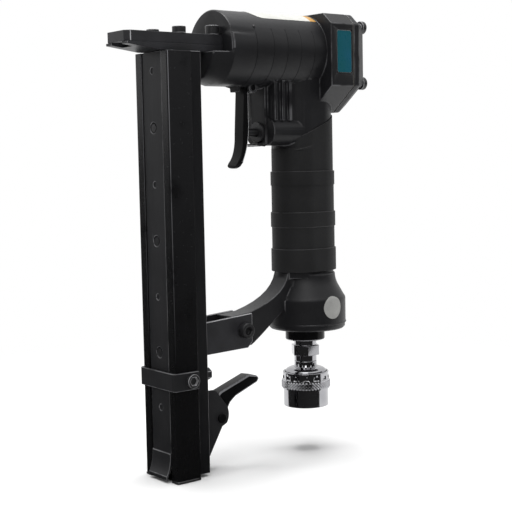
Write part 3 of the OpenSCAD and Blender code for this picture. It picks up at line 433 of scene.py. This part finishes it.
@dataclass
class Assembly:
    """Pieces that sit together on the tool."""

    pieces: list[bpy.types.Object] = field(default_factory=list, init=False)

    def place(self, name: str, work: bmesh.types.BMesh, finish: Finish, body: str, slot: str,
              smooth_deg: float = 42.0) -> bpy.types.Object:
        """Makes a piece of a finished bmesh, and lets it ride a body.

        Args:
            name: the piece's name.
            work: the mesh, in metres in the part's frame; it is freed here.
            finish: the surface.
            body: the CAD body that it rides.
            slot: the record's material slot; not used.
            smooth_deg: edges that turn more than this stay sharp.

        Returns:
            The piece.
        """
        mesh = bpy.data.meshes.new(name)
        for face in work.faces:
            face.smooth = True
        work.to_mesh(mesh)
        work.free()
        mesh.set_sharp_from_angle(angle=math.radians(smooth_deg))
        mesh.materials.append(finish.build())
        piece = bpy.data.objects.new(name, mesh)
        bpy.context.scene.collection.objects.link(piece)
        even = piece.modifiers.new("even_normals", "WEIGHTED_NORMAL")
        even.keep_sharp = True
        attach(piece, body)
        self.pieces.append(piece)
        LOG.info("%s rides %s, %d faces, %s", name, body, len(mesh.polygons), finish.name)
        return piece

    def merged(self, node: str) -> bmesh.types.BMesh:
        """Returns a copy of a node's mesh, merged, with its flat faces whole."""
        work = bmesh.new()
        work.from_mesh(frame["nodes"][node].data)
        bmesh.ops.remove_doubles(work, verts=work.verts, dist=WELD)
        bmesh.ops.dissolve_limit(work, angle_limit=math.radians(FLAT_DEG), verts=work.verts,
                                 edges=work.edges)
        return work

    def surface(self, node: str) -> BVHTree:
        """Returns a node's shape for rays to be cast at."""
        carrier = self.merged(node)
        tree = BVHTree.FromBMesh(carrier)
        carrier.free()
        return tree

    def soften(self, node: str, finish: Finish, width_mm: float, convex_only: bool = False,
               highlight_way: Vector | None = None, highlight_deg: float = 11.0, wear_and_highlight_edges: bool = True) -> None:
        """Stands a copy with eased edges in place of a node.

        Args:
            node: the CAD node.
            finish: the surface.
            width_mm: how far the easing cuts back from each edge.
            convex_only: leaves inner corners sharp.
            highlight_way: faces that look this way take the light colour, a painted highlight.
            highlight_deg: how far from that way such a face may look.
            wear_and_highlight_edges: all the eased edges take the light colour as well, a painted highlight
                and partly edge wear.
        """
        work = self.merged(node)
        wear_and_highlight = work.faces.layers.float.new(WEAR_AND_HIGHLIGHT)
        edges = to_ease(work, width_mm, convex_only)
        eased = bmesh.ops.bevel(work, geom=edges, offset=width_mm * MM, offset_type="OFFSET", segments=2,
                                profile=0.5, affect="EDGES", clamp_overlap=False, material=-1)
        # Eased edges are marked for the light colour: painted highlight, partly edge wear.
        for face in eased["faces"]:
            face[wear_and_highlight] = float(wear_and_highlight_edges)
        uncross(work)
        low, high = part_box(node)
        for vertex in work.verts:
            vertex.co = [min(max(c, least), most) for c, least, most in zip(vertex.co, low, high)]
        bmesh.ops.triangulate(work, faces=[face for face in work.faces if len(face.verts) > 4])
        work.normal_update()
        # Faces that look one way are marked for a painted highlight.
        if highlight_way:
            for face in work.faces:
                if face.normal.angle(highlight_way, math.pi) < math.radians(highlight_deg):
                    face[wear_and_highlight] = 1.0
        piece = self.place(f"{node}_eased", work, finish, body_of(node), SLOTS[node])
        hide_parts(node)

    def dress(self, node: str, finish: Finish) -> None:
        """Gives a CAD node its surface and leaves its shape."""
        piece = frame["nodes"][node]
        piece.data.materials.clear()
        piece.data.materials.append(finish.build())
        LOG.info("%s keeps its shape, %s", node, finish.name)

    def coil(self, node: str, joint: str, axis: str, seat_high: bool, travel_mm: float) -> None:
        """Stands a copy of a wound spring in place of its node.

        Args:
            node: the spring's CAD node.
            joint: the joint that closes it; not used.
            axis: the letter of the axis that it is wound on; not used.
            seat_high: its still end is the one with the larger coordinate; not used.
            travel_mm: how much shorter it is at the joint's limit; not used.
        """
        work = self.merged(node)
        piece = self.place(f"{node}_wound", work, SPRING_STEEL, body_of(node), SLOTS[node], smooth_deg=75.0)
        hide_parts(node)
        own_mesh(piece)

    def bead(self, line: Bead) -> None:
        """Raises a thin line on the node that carries it.

        Args:
            line: the line's course and size.
        """
        tree = self.surface(line.node)
        work = bmesh.new()
        (turn0, turn1), (z0, z1) = line.turns, line.heights
        steps = round(abs(turn1 - turn0) / line.step_deg)
        bmesh.ops.create_grid(work, x_segments=steps, y_segments=line.facets, size=0.5)
        for vertex in work.verts:
            run, across = vertex.co.x + 0.5, 2 * vertex.co.y
            turn = math.radians(turn0 + (turn1 - turn0) * run)
            out = Vector((math.sin(turn), -math.cos(turn), 0))
            height = z0 + (z1 - z0) * run ** line.rise + line.half_w * across
            level = Vector((line.axis_x, 0, height)) * MM
            hit = tree.ray_cast(level + out * line.clear_r * MM, -out)[0]
            ends = min(1.0, steps / line.fade_steps * math.sin(math.pi * run))
            vertex.co = hit + out * (line.stand * (1 - across ** 2) * ends - line.sink) * MM
        self.place(line.name, work, line.finish, body_of(line.node), SLOTS[line.node])


@dataclass
class Casting(Assembly):
    """The cast body with its head cap, cylinder and labels."""

    edge: float = 0.45
    cap_edge: float = 0.6
    screw_edge: float = 0.3
    valve_travel: float = 2.5
    barrel_axis_z: float = 217.0
    barrel_r: float = 19.7
    mark_x: float = -2.2
    mark_deg: float = 57.6
    mark_r: float = 0.9
    # Shares of the mark's radius, each with its height above the barrel.
    mark_outline: tuple[tuple[float, float], ...] = (
        (1.0, -0.3), (1.0, 0.1), (0.8, 0.32), (0.4, 0.4), (0.0, 0.42))
    plate_x: tuple[float, float] = (48.55, 59.05)
    plate_z: tuple[float, float] = (205.3, 227.9)
    plate_y: float = -22.5
    plate_t: float = 0.3
    plate_corner: float = 1.1
    # A share of each layer's thickness.
    plate_ease: float = 0.4
    rim_w: float = 0.35
    film_t: float = 0.1
    film_lift: float = 0.12
    # Sheets drop on the body from here.
    above_z: float = 260.0
    before_y: float = -60.0
    label_x: tuple[float, float] = (2.0, 39.4)
    band_x: tuple[float, float] = (39.4, 43.4)
    label_half_deg: float = 38.0
    label_corner: float = 6.0
    band_corner: float = 0.3
    label_folds: int = 12
    sticker: tuple[float, float] = (44.6, 80.1)
    sticker_r: float = 6.1

    def build(self) -> None:
        """Builds the body, its head and what shows of the cylinder."""
        self.soften("gun_body", CAST_PAINT, self.edge)
        self.soften("head_cap", CAST_PAINT, self.cap_edge)
        self.soften("cap_screws", BLACK_OXIDE, self.screw_edge)
        self.dress("head_gasket", FIBRE_GASKET)
        self.dress("cylinder_liner", ANODISED)
        self.dress("liner_seals", SEAL_RUBBER)
        self.dress("bumper", SEAL_RUBBER)
        self.dress("head_valve", ACETAL)
        self.dress("head_valve_seal", SEAL_RUBBER)
        self.coil("head_valve_spring", "head_valve_lift", "x", True, self.valve_travel)
        self.side_plate()
        self.top_label("top_label", PALE_FILM, self.label_x, self.label_corner)
        self.top_label("top_label_end", OCHRE_FILM, self.band_x, self.band_corner)
        self.round_sticker()
        self.core_mark()

    def slab(self, name: str, finish: Finish, inset: float, y: float, thick: float) -> None:
        """Lays one round-cornered layer of the side plate.

        Args:
            name: the piece's name.
            finish: the surface.
            inset: how far it stands back from the plate's edge.
            y: the plane that it lies on.
            thick: its thickness.
        """
        x0, x1 = self.plate_x[0] + inset, self.plate_x[1] - inset
        z0, z1 = self.plate_z[0] + inset, self.plate_z[1] - inset
        work = bmesh.new()
        size = Vector((x1 - x0, thick, z1 - z0)) * MM
        middle = Vector(((x0 + x1) / 2, y - thick / 2, (z0 + z1) / 2)) * MM
        shape = Matrix.Translation(middle) @ Matrix.Diagonal((*size, 1.0))
        bmesh.ops.create_cube(work, size=1.0, matrix=shape)
        corners = [edge for edge in work.edges if abs((edge.verts[0].co - edge.verts[1].co).y) > WELD]
        bmesh.ops.bevel(work, geom=corners, offset=self.plate_corner * MM, offset_type="OFFSET", segments=5,
                        profile=0.5, affect="EDGES", material=-1)
        front = [edge for edge in work.edges if all(v.co.y < middle.y for v in edge.verts)]
        bmesh.ops.bevel(work, geom=front, offset=self.plate_ease * thick * MM, offset_type="OFFSET",
                        segments=2, profile=0.5, affect="EDGES", material=-1)
        self.place(name, work, finish, "gun", BODY_SLOT)

    def side_plate(self) -> None:
        """Lays a bare teal film on a metal plate in its seat on the flange."""
        self.slab("side_plate", ANODISED, 0.0, self.plate_y, self.plate_t)
        self.slab("side_plate_film", TEAL_FILM, self.rim_w, self.plate_y - self.plate_t, self.film_t)

    def lay_on(self, work: bmesh.types.BMesh, node: str, way: Vector, lift_mm: float) -> None:
        """Drops a flat sheet on a node.

        Args:
            work: the sheet, in front of the node.
            node: the CAD node that carries it.
            way: the direction of the drop.
            lift_mm: how far the sheet stands off the surface.
        """
        tree = self.surface(node)
        for vertex in work.verts:
            hit = tree.ray_cast(vertex.co, way)[0]
            if hit is not None:
                vertex.co = hit - way * lift_mm * MM

    def top_label(self, name: str, finish: Finish, reach: tuple[float, float], corner: float) -> None:
        """Lays a bare film over the top of the barrel.

        Args:
            name: the piece's name.
            finish: the surface.
            reach: where it starts and ends along the barrel.
            corner: the radius of its two front corners.
        """
        x0, x1 = reach
        half_w = self.barrel_r * math.sin(math.radians(self.label_half_deg))
        work = bmesh.new()
        middle_x = (x0 + x1) / 2
        above = Matrix.Translation(Vector((middle_x, 0, self.above_z)) * MM)
        bmesh.ops.create_grid(work, x_segments=1, y_segments=1, size=0.5,
                              matrix=above @ Matrix.Diagonal(((x1 - x0) * MM, 2 * half_w * MM, 1.0, 1.0)))
        front = [v for v in work.verts if v.co.x < middle_x * MM]
        bmesh.ops.bevel(work, geom=front, offset=corner * MM, offset_type="OFFSET", segments=6, profile=0.5,
                        affect="VERTICES", material=-1)
        for fold in range(1 - self.label_folds, self.label_folds):
            at_y = fold / self.label_folds * half_w * MM
            bmesh.ops.bisect_plane(work, geom=work.verts[:] + work.edges[:] + work.faces[:], dist=WELD,
                                   plane_co=(0, at_y, 0), plane_no=(0, 1, 0))
        self.lay_on(work, "gun_body", Vector((0, 0, -1)), self.film_lift)
        self.place(name, work, finish, "gun", BODY_SLOT)

    def core_mark(self) -> None:
        """Raises the small round mark that the casting die left where the first groove runs out."""
        lean = Matrix.Rotation(math.radians(self.mark_deg), 3, "X")
        middle = Vector((self.mark_x, 0, self.barrel_axis_z)) + lean @ Vector((0, 0, self.barrel_r))
        work = bmesh.new()
        verts = [work.verts.new((middle + lean @ Vector((share * self.mark_r, 0, height))) * MM)
                 for share, height in self.mark_outline]
        line = [work.edges.new(pair) for pair in zip(verts, verts[1:])]
        bmesh.ops.spin(work, geom=line, cent=middle * MM, axis=lean @ Vector((0, 0, 1)), dvec=(0, 0, 0),
                       angle=math.tau, steps=20, use_merge=True)
        bmesh.ops.remove_doubles(work, verts=work.verts, dist=WELD)
        bmesh.ops.recalc_face_normals(work, faces=work.faces)
        self.place("core_mark", work, CAST_PAINT, "gun", BODY_SLOT)

    def round_sticker(self) -> None:
        """Lays a bare round sticker on the near side of the base."""
        x, z = self.sticker
        work = bmesh.new()
        upright = Matrix.Rotation(math.radians(90), 4, "X")
        before = Matrix.Translation(Vector((x, self.before_y, z)) * MM) @ upright
        bmesh.ops.create_circle(work, cap_ends=True, cap_tris=True, segments=48, radius=self.sticker_r * MM,
                                matrix=before)
        bmesh.ops.subdivide_edges(work, edges=[e for e in work.edges if not e.is_boundary], cuts=5)
        self.lay_on(work, "gun_body", Vector((0, 1, 0)), self.film_lift)
        self.place("round_sticker", work, SILVER_FILM, "gun", BODY_SLOT)


@dataclass
class Nose(Assembly):
    """The nose plate and guide, and the driver that runs between them."""

    edge: float = 0.25
    guide_edge: float = 0.15
    screw_edge: float = 0.3
    # Faces at the tip that look this way take painted glints, partly edge wear.
    highlight_way: tuple[float, float, float] = (-0.38, -0.92, 0.0)

    def build(self) -> None:
        """Builds the nose and the driver."""
        for node, edge in (("nose_plate", self.edge), ("driver_guide", self.guide_edge)):
            self.soften(node, NOSE_STEEL, edge, convex_only=True, highlight_way=Vector(self.highlight_way),
                        wear_and_highlight_edges=False)
        self.soften("nose_screws", BLACK_OXIDE, self.screw_edge)
        self.dress("piston", ANODISED)
        self.dress("piston_ring", SEAL_RUBBER)
        self.dress("driver_blade", BRIGHT_STEEL)
        self.dress("driver_pin", BRIGHT_STEEL)


@dataclass
class Trigger(Assembly):
    """The trigger, its pin and the small air valve behind it."""

    edge: float = 0.5
    small_edge: float = 0.2
    # Faces on the trigger's near rear edge that look this way take a painted highlight, partly bare wear.
    highlight_way: tuple[float, float, float] = (0.7, -0.7, 0.0)
    highlight_deg: float = 35.0
    stem_travel: float = 3.05

    def build(self) -> None:
        """Builds the trigger and its valve."""
        self.soften("trigger", TRIGGER_PAINT, self.edge, highlight_way=Vector(self.highlight_way),
                    highlight_deg=self.highlight_deg, wear_and_highlight_edges=False)
        self.soften("trigger_pin", LEVER_PAINT, self.small_edge, wear_and_highlight_edges=False)
        self.soften("valve_body", ACETAL, self.small_edge)
        self.soften("valve_stem", BLACK_OXIDE, self.small_edge)
        self.coil("valve_spring", "valve_stem_push", "x", True, self.stem_travel)


@dataclass
class Handle(Assembly):
    """The rubber grip, the base and the air inlet with its quick coupler."""

    grip_edge: float = 0.22
    edge: float = 0.3
    collar_edge: float = 0.6
    coupler_edge: float = 0.35
    sleeve_travel: float = 2.5
    knurl_r: float = 13.0
    knurl_z: tuple[float, float] = (34.0, 39.0)
    knurl_depth: float = 0.6
    knurl_count: int = 46
    knurl_rows: int = 3
    knurl_margin: float = 0.3
    knurl_smooth_deg: float = 5.0
    axis_x: float = 42.45
    # Each line's turns and heights, then half its width and how far it stands out.
    crease_deg: tuple[float, float] = (-56.0, -12.0)
    crease_z: tuple[float, float] = (164.7, 167.4)
    crease_size: tuple[float, float] = (0.6, 0.35)
    lip_deg: tuple[float, float] = (-58.0, 238.0)
    lip_z: tuple[float, float] = (70.9, 70.9)
    lip_size: tuple[float, float] = (0.45, 0.3)

    def build(self) -> None:
        """Builds the grip, the base cap and the coupler."""
        self.soften("grip_sleeve", GRIP_RUBBER, self.grip_edge)
        self.soften("end_cap", CAST_PAINT, self.edge)
        self.soften("inlet_collar", LEVER_PAINT, self.collar_edge)
        self.soften("air_nipple", CHROME_PLATE, self.edge)
        self.soften("coupler_body", CHROME_PLATE, self.coupler_edge, convex_only=True)
        self.soften("coupler_sleeve", CHROME_PLATE, self.coupler_edge)
        self.dress("coupler_clip", SPRING_STEEL)
        self.coil("coupler_spring", "coupler_release", "z", True, self.sleeve_travel)
        self.bead(Bead("grip_crease", "grip_sleeve", GRIP_RUBBER, self.axis_x, self.crease_deg,
                       self.crease_z, *self.crease_size))
        self.bead(Bead("base_lip", "gun_body", CAST_PAINT, self.axis_x, self.lip_deg, self.lip_z,
                       *self.lip_size))
        self.knurl()

    def knurl(self) -> None:
        """Rolls a diamond knurl round the sleeve's ring."""
        z0, z1 = self.knurl_z
        low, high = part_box("coupler_sleeve")
        middle = Vector(((low.x + high.x) / 2, (low.y + high.y) / 2, (z0 + z1) / 2 * MM))
        work = bmesh.new()
        bmesh.ops.create_cone(work, cap_ends=False, segments=self.knurl_count, radius1=self.knurl_r * MM,
                              radius2=self.knurl_r * MM, depth=(z1 - z0 - 2 * self.knurl_margin) * MM,
                              matrix=Matrix.Translation(middle))
        upright = [e for e in work.edges if abs((e.verts[0].co - e.verts[1].co).z) > WELD]
        bmesh.ops.subdivide_edges(work, edges=upright, cuts=self.knurl_rows - 1)
        squares = [e for e in work.edges if not e.is_boundary]
        bmesh.ops.poke(work, faces=work.faces)
        bmesh.ops.dissolve_edges(work, edges=squares, use_verts=False)
        diamonds = [f for f in work.faces if len(f.verts) == 4]
        bmesh.ops.poke(work, faces=diamonds, offset=self.knurl_depth * MM)
        self.place("sleeve_knurl", work, CHROME_PLATE, "coupler_sleeve", SLOTS["coupler_sleeve"],
                   self.knurl_smooth_deg)


@dataclass
class Magazine(Assembly):
    """The staple magazine: fixed channel, sliding cover, rail and pusher."""

    edge: float = 0.3
    strip_edge: float = 0.25
    small_edge: float = 0.2
    tail_edge: float = 0.4
    # Faces on the cover's near front corner that look this way take a painted highlight, partly edge wear.
    highlight_way: tuple[float, float, float] = (-0.34, -0.94, 0.0)
    pusher_travel: float = 150.0
    axis_x: float = -46.9
    # The lip's turns and heights, then half its width and how far it stands out.
    foot_deg: tuple[float, float] = (26.0, -38.0)
    foot_z: tuple[float, float] = (0.75, 0.75)
    foot_size: tuple[float, float] = (0.65, 0.6)

    def build(self) -> None:
        """Builds the magazine."""
        self.soften("fixed_magazine", CHANNEL_PAINT, self.edge, convex_only=True)
        self.soften("slide_cover", SHEET_PAINT, self.edge, convex_only=True,
                    highlight_way=Vector(self.highlight_way), wear_and_highlight_edges=False)
        self.soften("slide_strip", STRIP_STEEL, self.strip_edge, convex_only=True)
        self.soften("strip_rivets", BLACK_OXIDE, self.small_edge)
        self.soften("strap_band", STRIP_STEEL, self.edge, convex_only=True)
        self.soften("strap_screws", BLACK_OXIDE, self.strip_edge)
        self.soften("tail_block", LEVER_PAINT, self.tail_edge)
        self.dress("staple_rail", BRIGHT_STEEL)
        self.soften("pusher", BRIGHT_STEEL, self.small_edge)
        self.coil("pusher_spring", "pusher_feed", "z", False, self.pusher_travel)
        far_deg = (180 - self.foot_deg[0], 180 - self.foot_deg[1])
        for side, turns in (("near", self.foot_deg), ("far", far_deg)):
            self.bead(Bead(f"foot_lip_{side}", "slide_cover", BLACK_OXIDE, self.axis_x, turns, self.foot_z,
                           *self.foot_size))


@dataclass
class Bracket(Assembly):
    """The bracket and latch that hold the magazine to the handle."""

    edge: float = 0.35
    bolt_edge: float = 0.4
    ear_edge: float = 0.3
    lever_edge: float = 0.8
    pin_edge: float = 0.2
    screw_edge: float = 0.25
    spring_travel: float = 3.8

    def build(self) -> None:
        """Builds the bracket, its bolt and the latch."""
        self.soften("magazine_bracket", NOSE_STEEL, self.edge, convex_only=True)
        self.soften("bracket_bolt", BLACK_OXIDE, self.bolt_edge, wear_and_highlight_edges=False)
        self.soften("bracket_nut", BLACK_OXIDE, self.ear_edge, wear_and_highlight_edges=False)
        self.soften("latch_bracket", STRIP_STEEL, self.ear_edge, convex_only=True, wear_and_highlight_edges=False)
        self.soften("latch_lever", LEVER_PAINT, self.lever_edge)
        self.soften("latch_pin", LEVER_PAINT, self.pin_edge, wear_and_highlight_edges=False)
        self.soften("stop_screw", BLACK_OXIDE, self.screw_edge)
        self.coil("latch_spring", "latch_turn", "x", False, self.spring_travel)


@dataclass(frozen=True)
class Lamp:
    """A square soft lamp that looks at the tool, in millimetres and watts."""

    name: str
    at: tuple[float, float, float]
    size: float
    watts: float
    aim_z: float = 120.0

    def build(self) -> None:
        """Hangs the lamp."""
        data = bpy.data.lights.new(self.name, "AREA")
        data.size = self.size * MM
        data.energy = self.watts
        lamp = bpy.data.objects.new(self.name, data)
        lamp.location = Vector(self.at) * MM
        aim = Vector((0, 0, self.aim_z)) * MM - lamp.location
        lamp.rotation_euler = aim.to_track_quat("-Z", "Y").to_euler()
        bpy.context.scene.collection.objects.link(lamp)


@dataclass
class Studio:
    """A pale floor, soft lamps, dark cards for metal to mirror, and the camera that took the picture."""

    camera_at: tuple[float, float, float] = (-368.55, -485.6, 162.6)
    turn_deg: float = 37.88
    down_deg: float = 4.96
    roll_deg: float = -1.16
    lens: float = 81.67
    film: float = 36.0
    floor_half: float = 6000.0
    floor_colour: str = "#f4f4f4"
    floor_roughness: float = 0.9
    # The room's light on surfaces, as a share of the white that is seen.
    fill: float = 0.35
    overhead: Lamp = Lamp("overhead_lamp", (40, 60, 1450), 900, 25)
    front: Lamp = Lamp("front_lamp", (-700, -800, 900), 700, 3.5)
    # The floor turns from shadowed to pure white between these distances.
    shadow_reach: tuple[float, float] = (120.0, 420.0)
    card_r: float = 1300.0
    card_lift: float = 0.4
    card_steps: int = 24
    card_colour: str = "#2a2a2a"
    # Where the mat, and then each card, starts and ends about the camera's side, and the card's height.
    mat_deg: tuple[float, float] = (-122.0, 82.0)
    cards: tuple[tuple[float, float, float], ...] = ((-122.0, -60.0, 210.0), (-60.0, 106.0, 520.0))

    def build(self) -> None:
        """Builds the stage."""
        self.floor()
        self.world()
        self.overhead.build()
        self.front.build()
        self.dark_cards()
        self.camera()

    def matt(self, name: str, colour: str, roughness: float) -> bpy.types.Material:
        """Makes a plain material without gloss.

        Args:
            name: the material's name.
            colour: an sRGB hex colour.
            roughness: how widely it scatters.

        Returns:
            The material.
        """
        material = bpy.data.materials.new(name)
        material.use_nodes = True
        shader = material.node_tree.nodes["Principled BSDF"]
        shader.inputs["Base Color"].default_value = linear(colour)
        shader.inputs["Roughness"].default_value = roughness
        shader.inputs["Specular IOR Level"].default_value = 0.0
        return material

    def stand(self, name: str, work: bmesh.types.BMesh, material: bpy.types.Material) -> bpy.types.Object:
        """Makes a piece of the stage.

        Args:
            name: the piece's name.
            work: the mesh, in metres; it is freed here.
            material: its surface.

        Returns:
            The piece.
        """
        mesh = bpy.data.meshes.new(name)
        work.to_mesh(mesh)
        work.free()
        mesh.materials.append(material)
        piece = bpy.data.objects.new(name, mesh)
        bpy.context.scene.collection.objects.link(piece)
        return piece

    def floor(self) -> None:
        """Lays a white floor that keeps the tool's shadow near it, and looks pure white further out."""
        material = self.matt("white_paper_floor", self.floor_colour, self.floor_roughness)
        tree = material.node_tree
        shader = tree.nodes["Principled BSDF"]
        place = add_node(tree, "ShaderNodeTexCoord").outputs["Object"]
        reach = add_node(tree, "ShaderNodeVectorMath", {0: place}, operation="LENGTH")
        far = add_node(tree, "ShaderNodeMapRange", {
            "Value": reach.outputs["Value"], "From Min": self.shadow_reach[0] * MM,
            "From Max": self.shadow_reach[1] * MM}, interpolation_type="SMOOTHSTEP")
        seen = add_node(tree, "ShaderNodeLightPath")
        share = add_node(tree, "ShaderNodeMath", {
            0: seen.outputs["Is Camera Ray"], 1: far.outputs["Result"]}, operation="MULTIPLY")
        white = add_node(tree, "ShaderNodeEmission", {"Strength": 1.0})
        both = add_node(tree, "ShaderNodeMixShader", {
            0: share.outputs[0], 1: shader.outputs[0], 2: white.outputs[0]})
        tree.links.new(both.outputs[0], tree.nodes["Material Output"].inputs["Surface"])
        work = bmesh.new()
        bmesh.ops.create_grid(work, x_segments=1, y_segments=1, size=self.floor_half * MM)
        self.stand("floor", work, material)

    def world(self) -> None:
        """Shows a white room, and lights with a softer one."""
        world = bpy.data.worlds.new("white_room")
        bpy.context.scene.world = world
        world.use_nodes = True
        tree = world.node_tree
        ground = tree.nodes["Background"]
        ground.inputs["Color"].default_value = (1.0, 1.0, 1.0, 1.0)
        path = add_node(tree, "ShaderNodeLightPath")
        seen = add_node(tree, "ShaderNodeMath", {
            0: path.outputs["Is Camera Ray"], 1: path.outputs["Is Glossy Ray"]}, operation="MAXIMUM")
        either = add_node(tree, "ShaderNodeMath", {
            0: seen.outputs[0], 1: path.outputs["Is Transmission Ray"]}, operation="MAXIMUM")
        level = add_node(tree, "ShaderNodeMapRange", {
            "Value": either.outputs[0], "To Min": self.fill, "To Max": 1.0})
        tree.links.new(level.outputs["Result"], ground.inputs["Strength"])

    def dark_cards(self) -> None:
        """Lays dark mats and bends dark cards round the camera's side, for bright metal to mirror."""
        work = bmesh.new()
        turn = math.radians(self.turn_deg)
        to_camera = Vector((-math.sin(turn), -math.cos(turn), 0))
        sheets: list[tuple[Any, ...]] = [(*self.mat_deg, (0.0, 0.0), (self.card_r, 0.0))]
        sheets += [(start, end, (self.card_r, 0.0), (self.card_r, height))
                   for start, end, height in self.cards]
        for start, end, *ends in sheets:
            first = Matrix.Rotation(math.radians(start), 3, "Z") @ to_camera
            verts = [work.verts.new(first * r * MM + Vector((0, 0, (z + self.card_lift) * MM)))
                     for r, z in ends]
            bmesh.ops.spin(work, geom=[work.edges.new(verts)], cent=(0, 0, 0), axis=(0, 0, 1), dvec=(0, 0, 0),
                           angle=math.radians(end - start), steps=self.card_steps, use_merge=False)
        card = self.stand("dark_card", work, self.matt("black_card", self.card_colour, 1.0))
        card.visible_camera = False
        card.visible_diffuse = False
        card.visible_shadow = False

    def camera(self) -> None:
        """Sets the camera where the photograph was taken."""
        turn, down, roll = (math.radians(v) for v in (self.turn_deg, self.down_deg, self.roll_deg))
        look = Vector((math.sin(turn) * math.cos(down), math.cos(turn) * math.cos(down), -math.sin(down)))
        level = Vector((math.cos(turn), -math.sin(turn), 0))
        rise = level.cross(look)
        right = math.cos(roll) * level + math.sin(roll) * rise
        up = -math.sin(roll) * level + math.cos(roll) * rise
        data = bpy.data.cameras.new("photo_camera")
        data.lens = self.lens
        data.sensor_width = self.film
        camera = bpy.data.objects.new("photo_camera", data)
        axes = Matrix((right, up, -look)).transposed().to_4x4()
        camera.matrix_world = Matrix.Translation(Vector(self.camera_at) * MM) @ axes
        bpy.context.scene.collection.objects.link(camera)
        bpy.context.scene.camera = camera


def main() -> None:
    """Builds each sub-assembly, then the stage."""
    logging.basicConfig(level=logging.INFO, format="%(name)s: %(message)s")
    for group in (Casting(), Nose(), Trigger(), Handle(), Magazine(), Bracket()):
        group.build()
        LOG.info("%s has %d pieces", type(group).__name__, len(group.pieces))
    Studio().build()
    bpy.context.scene.view_settings.view_transform = "Standard"


if __name__ == "__main__":
    main()
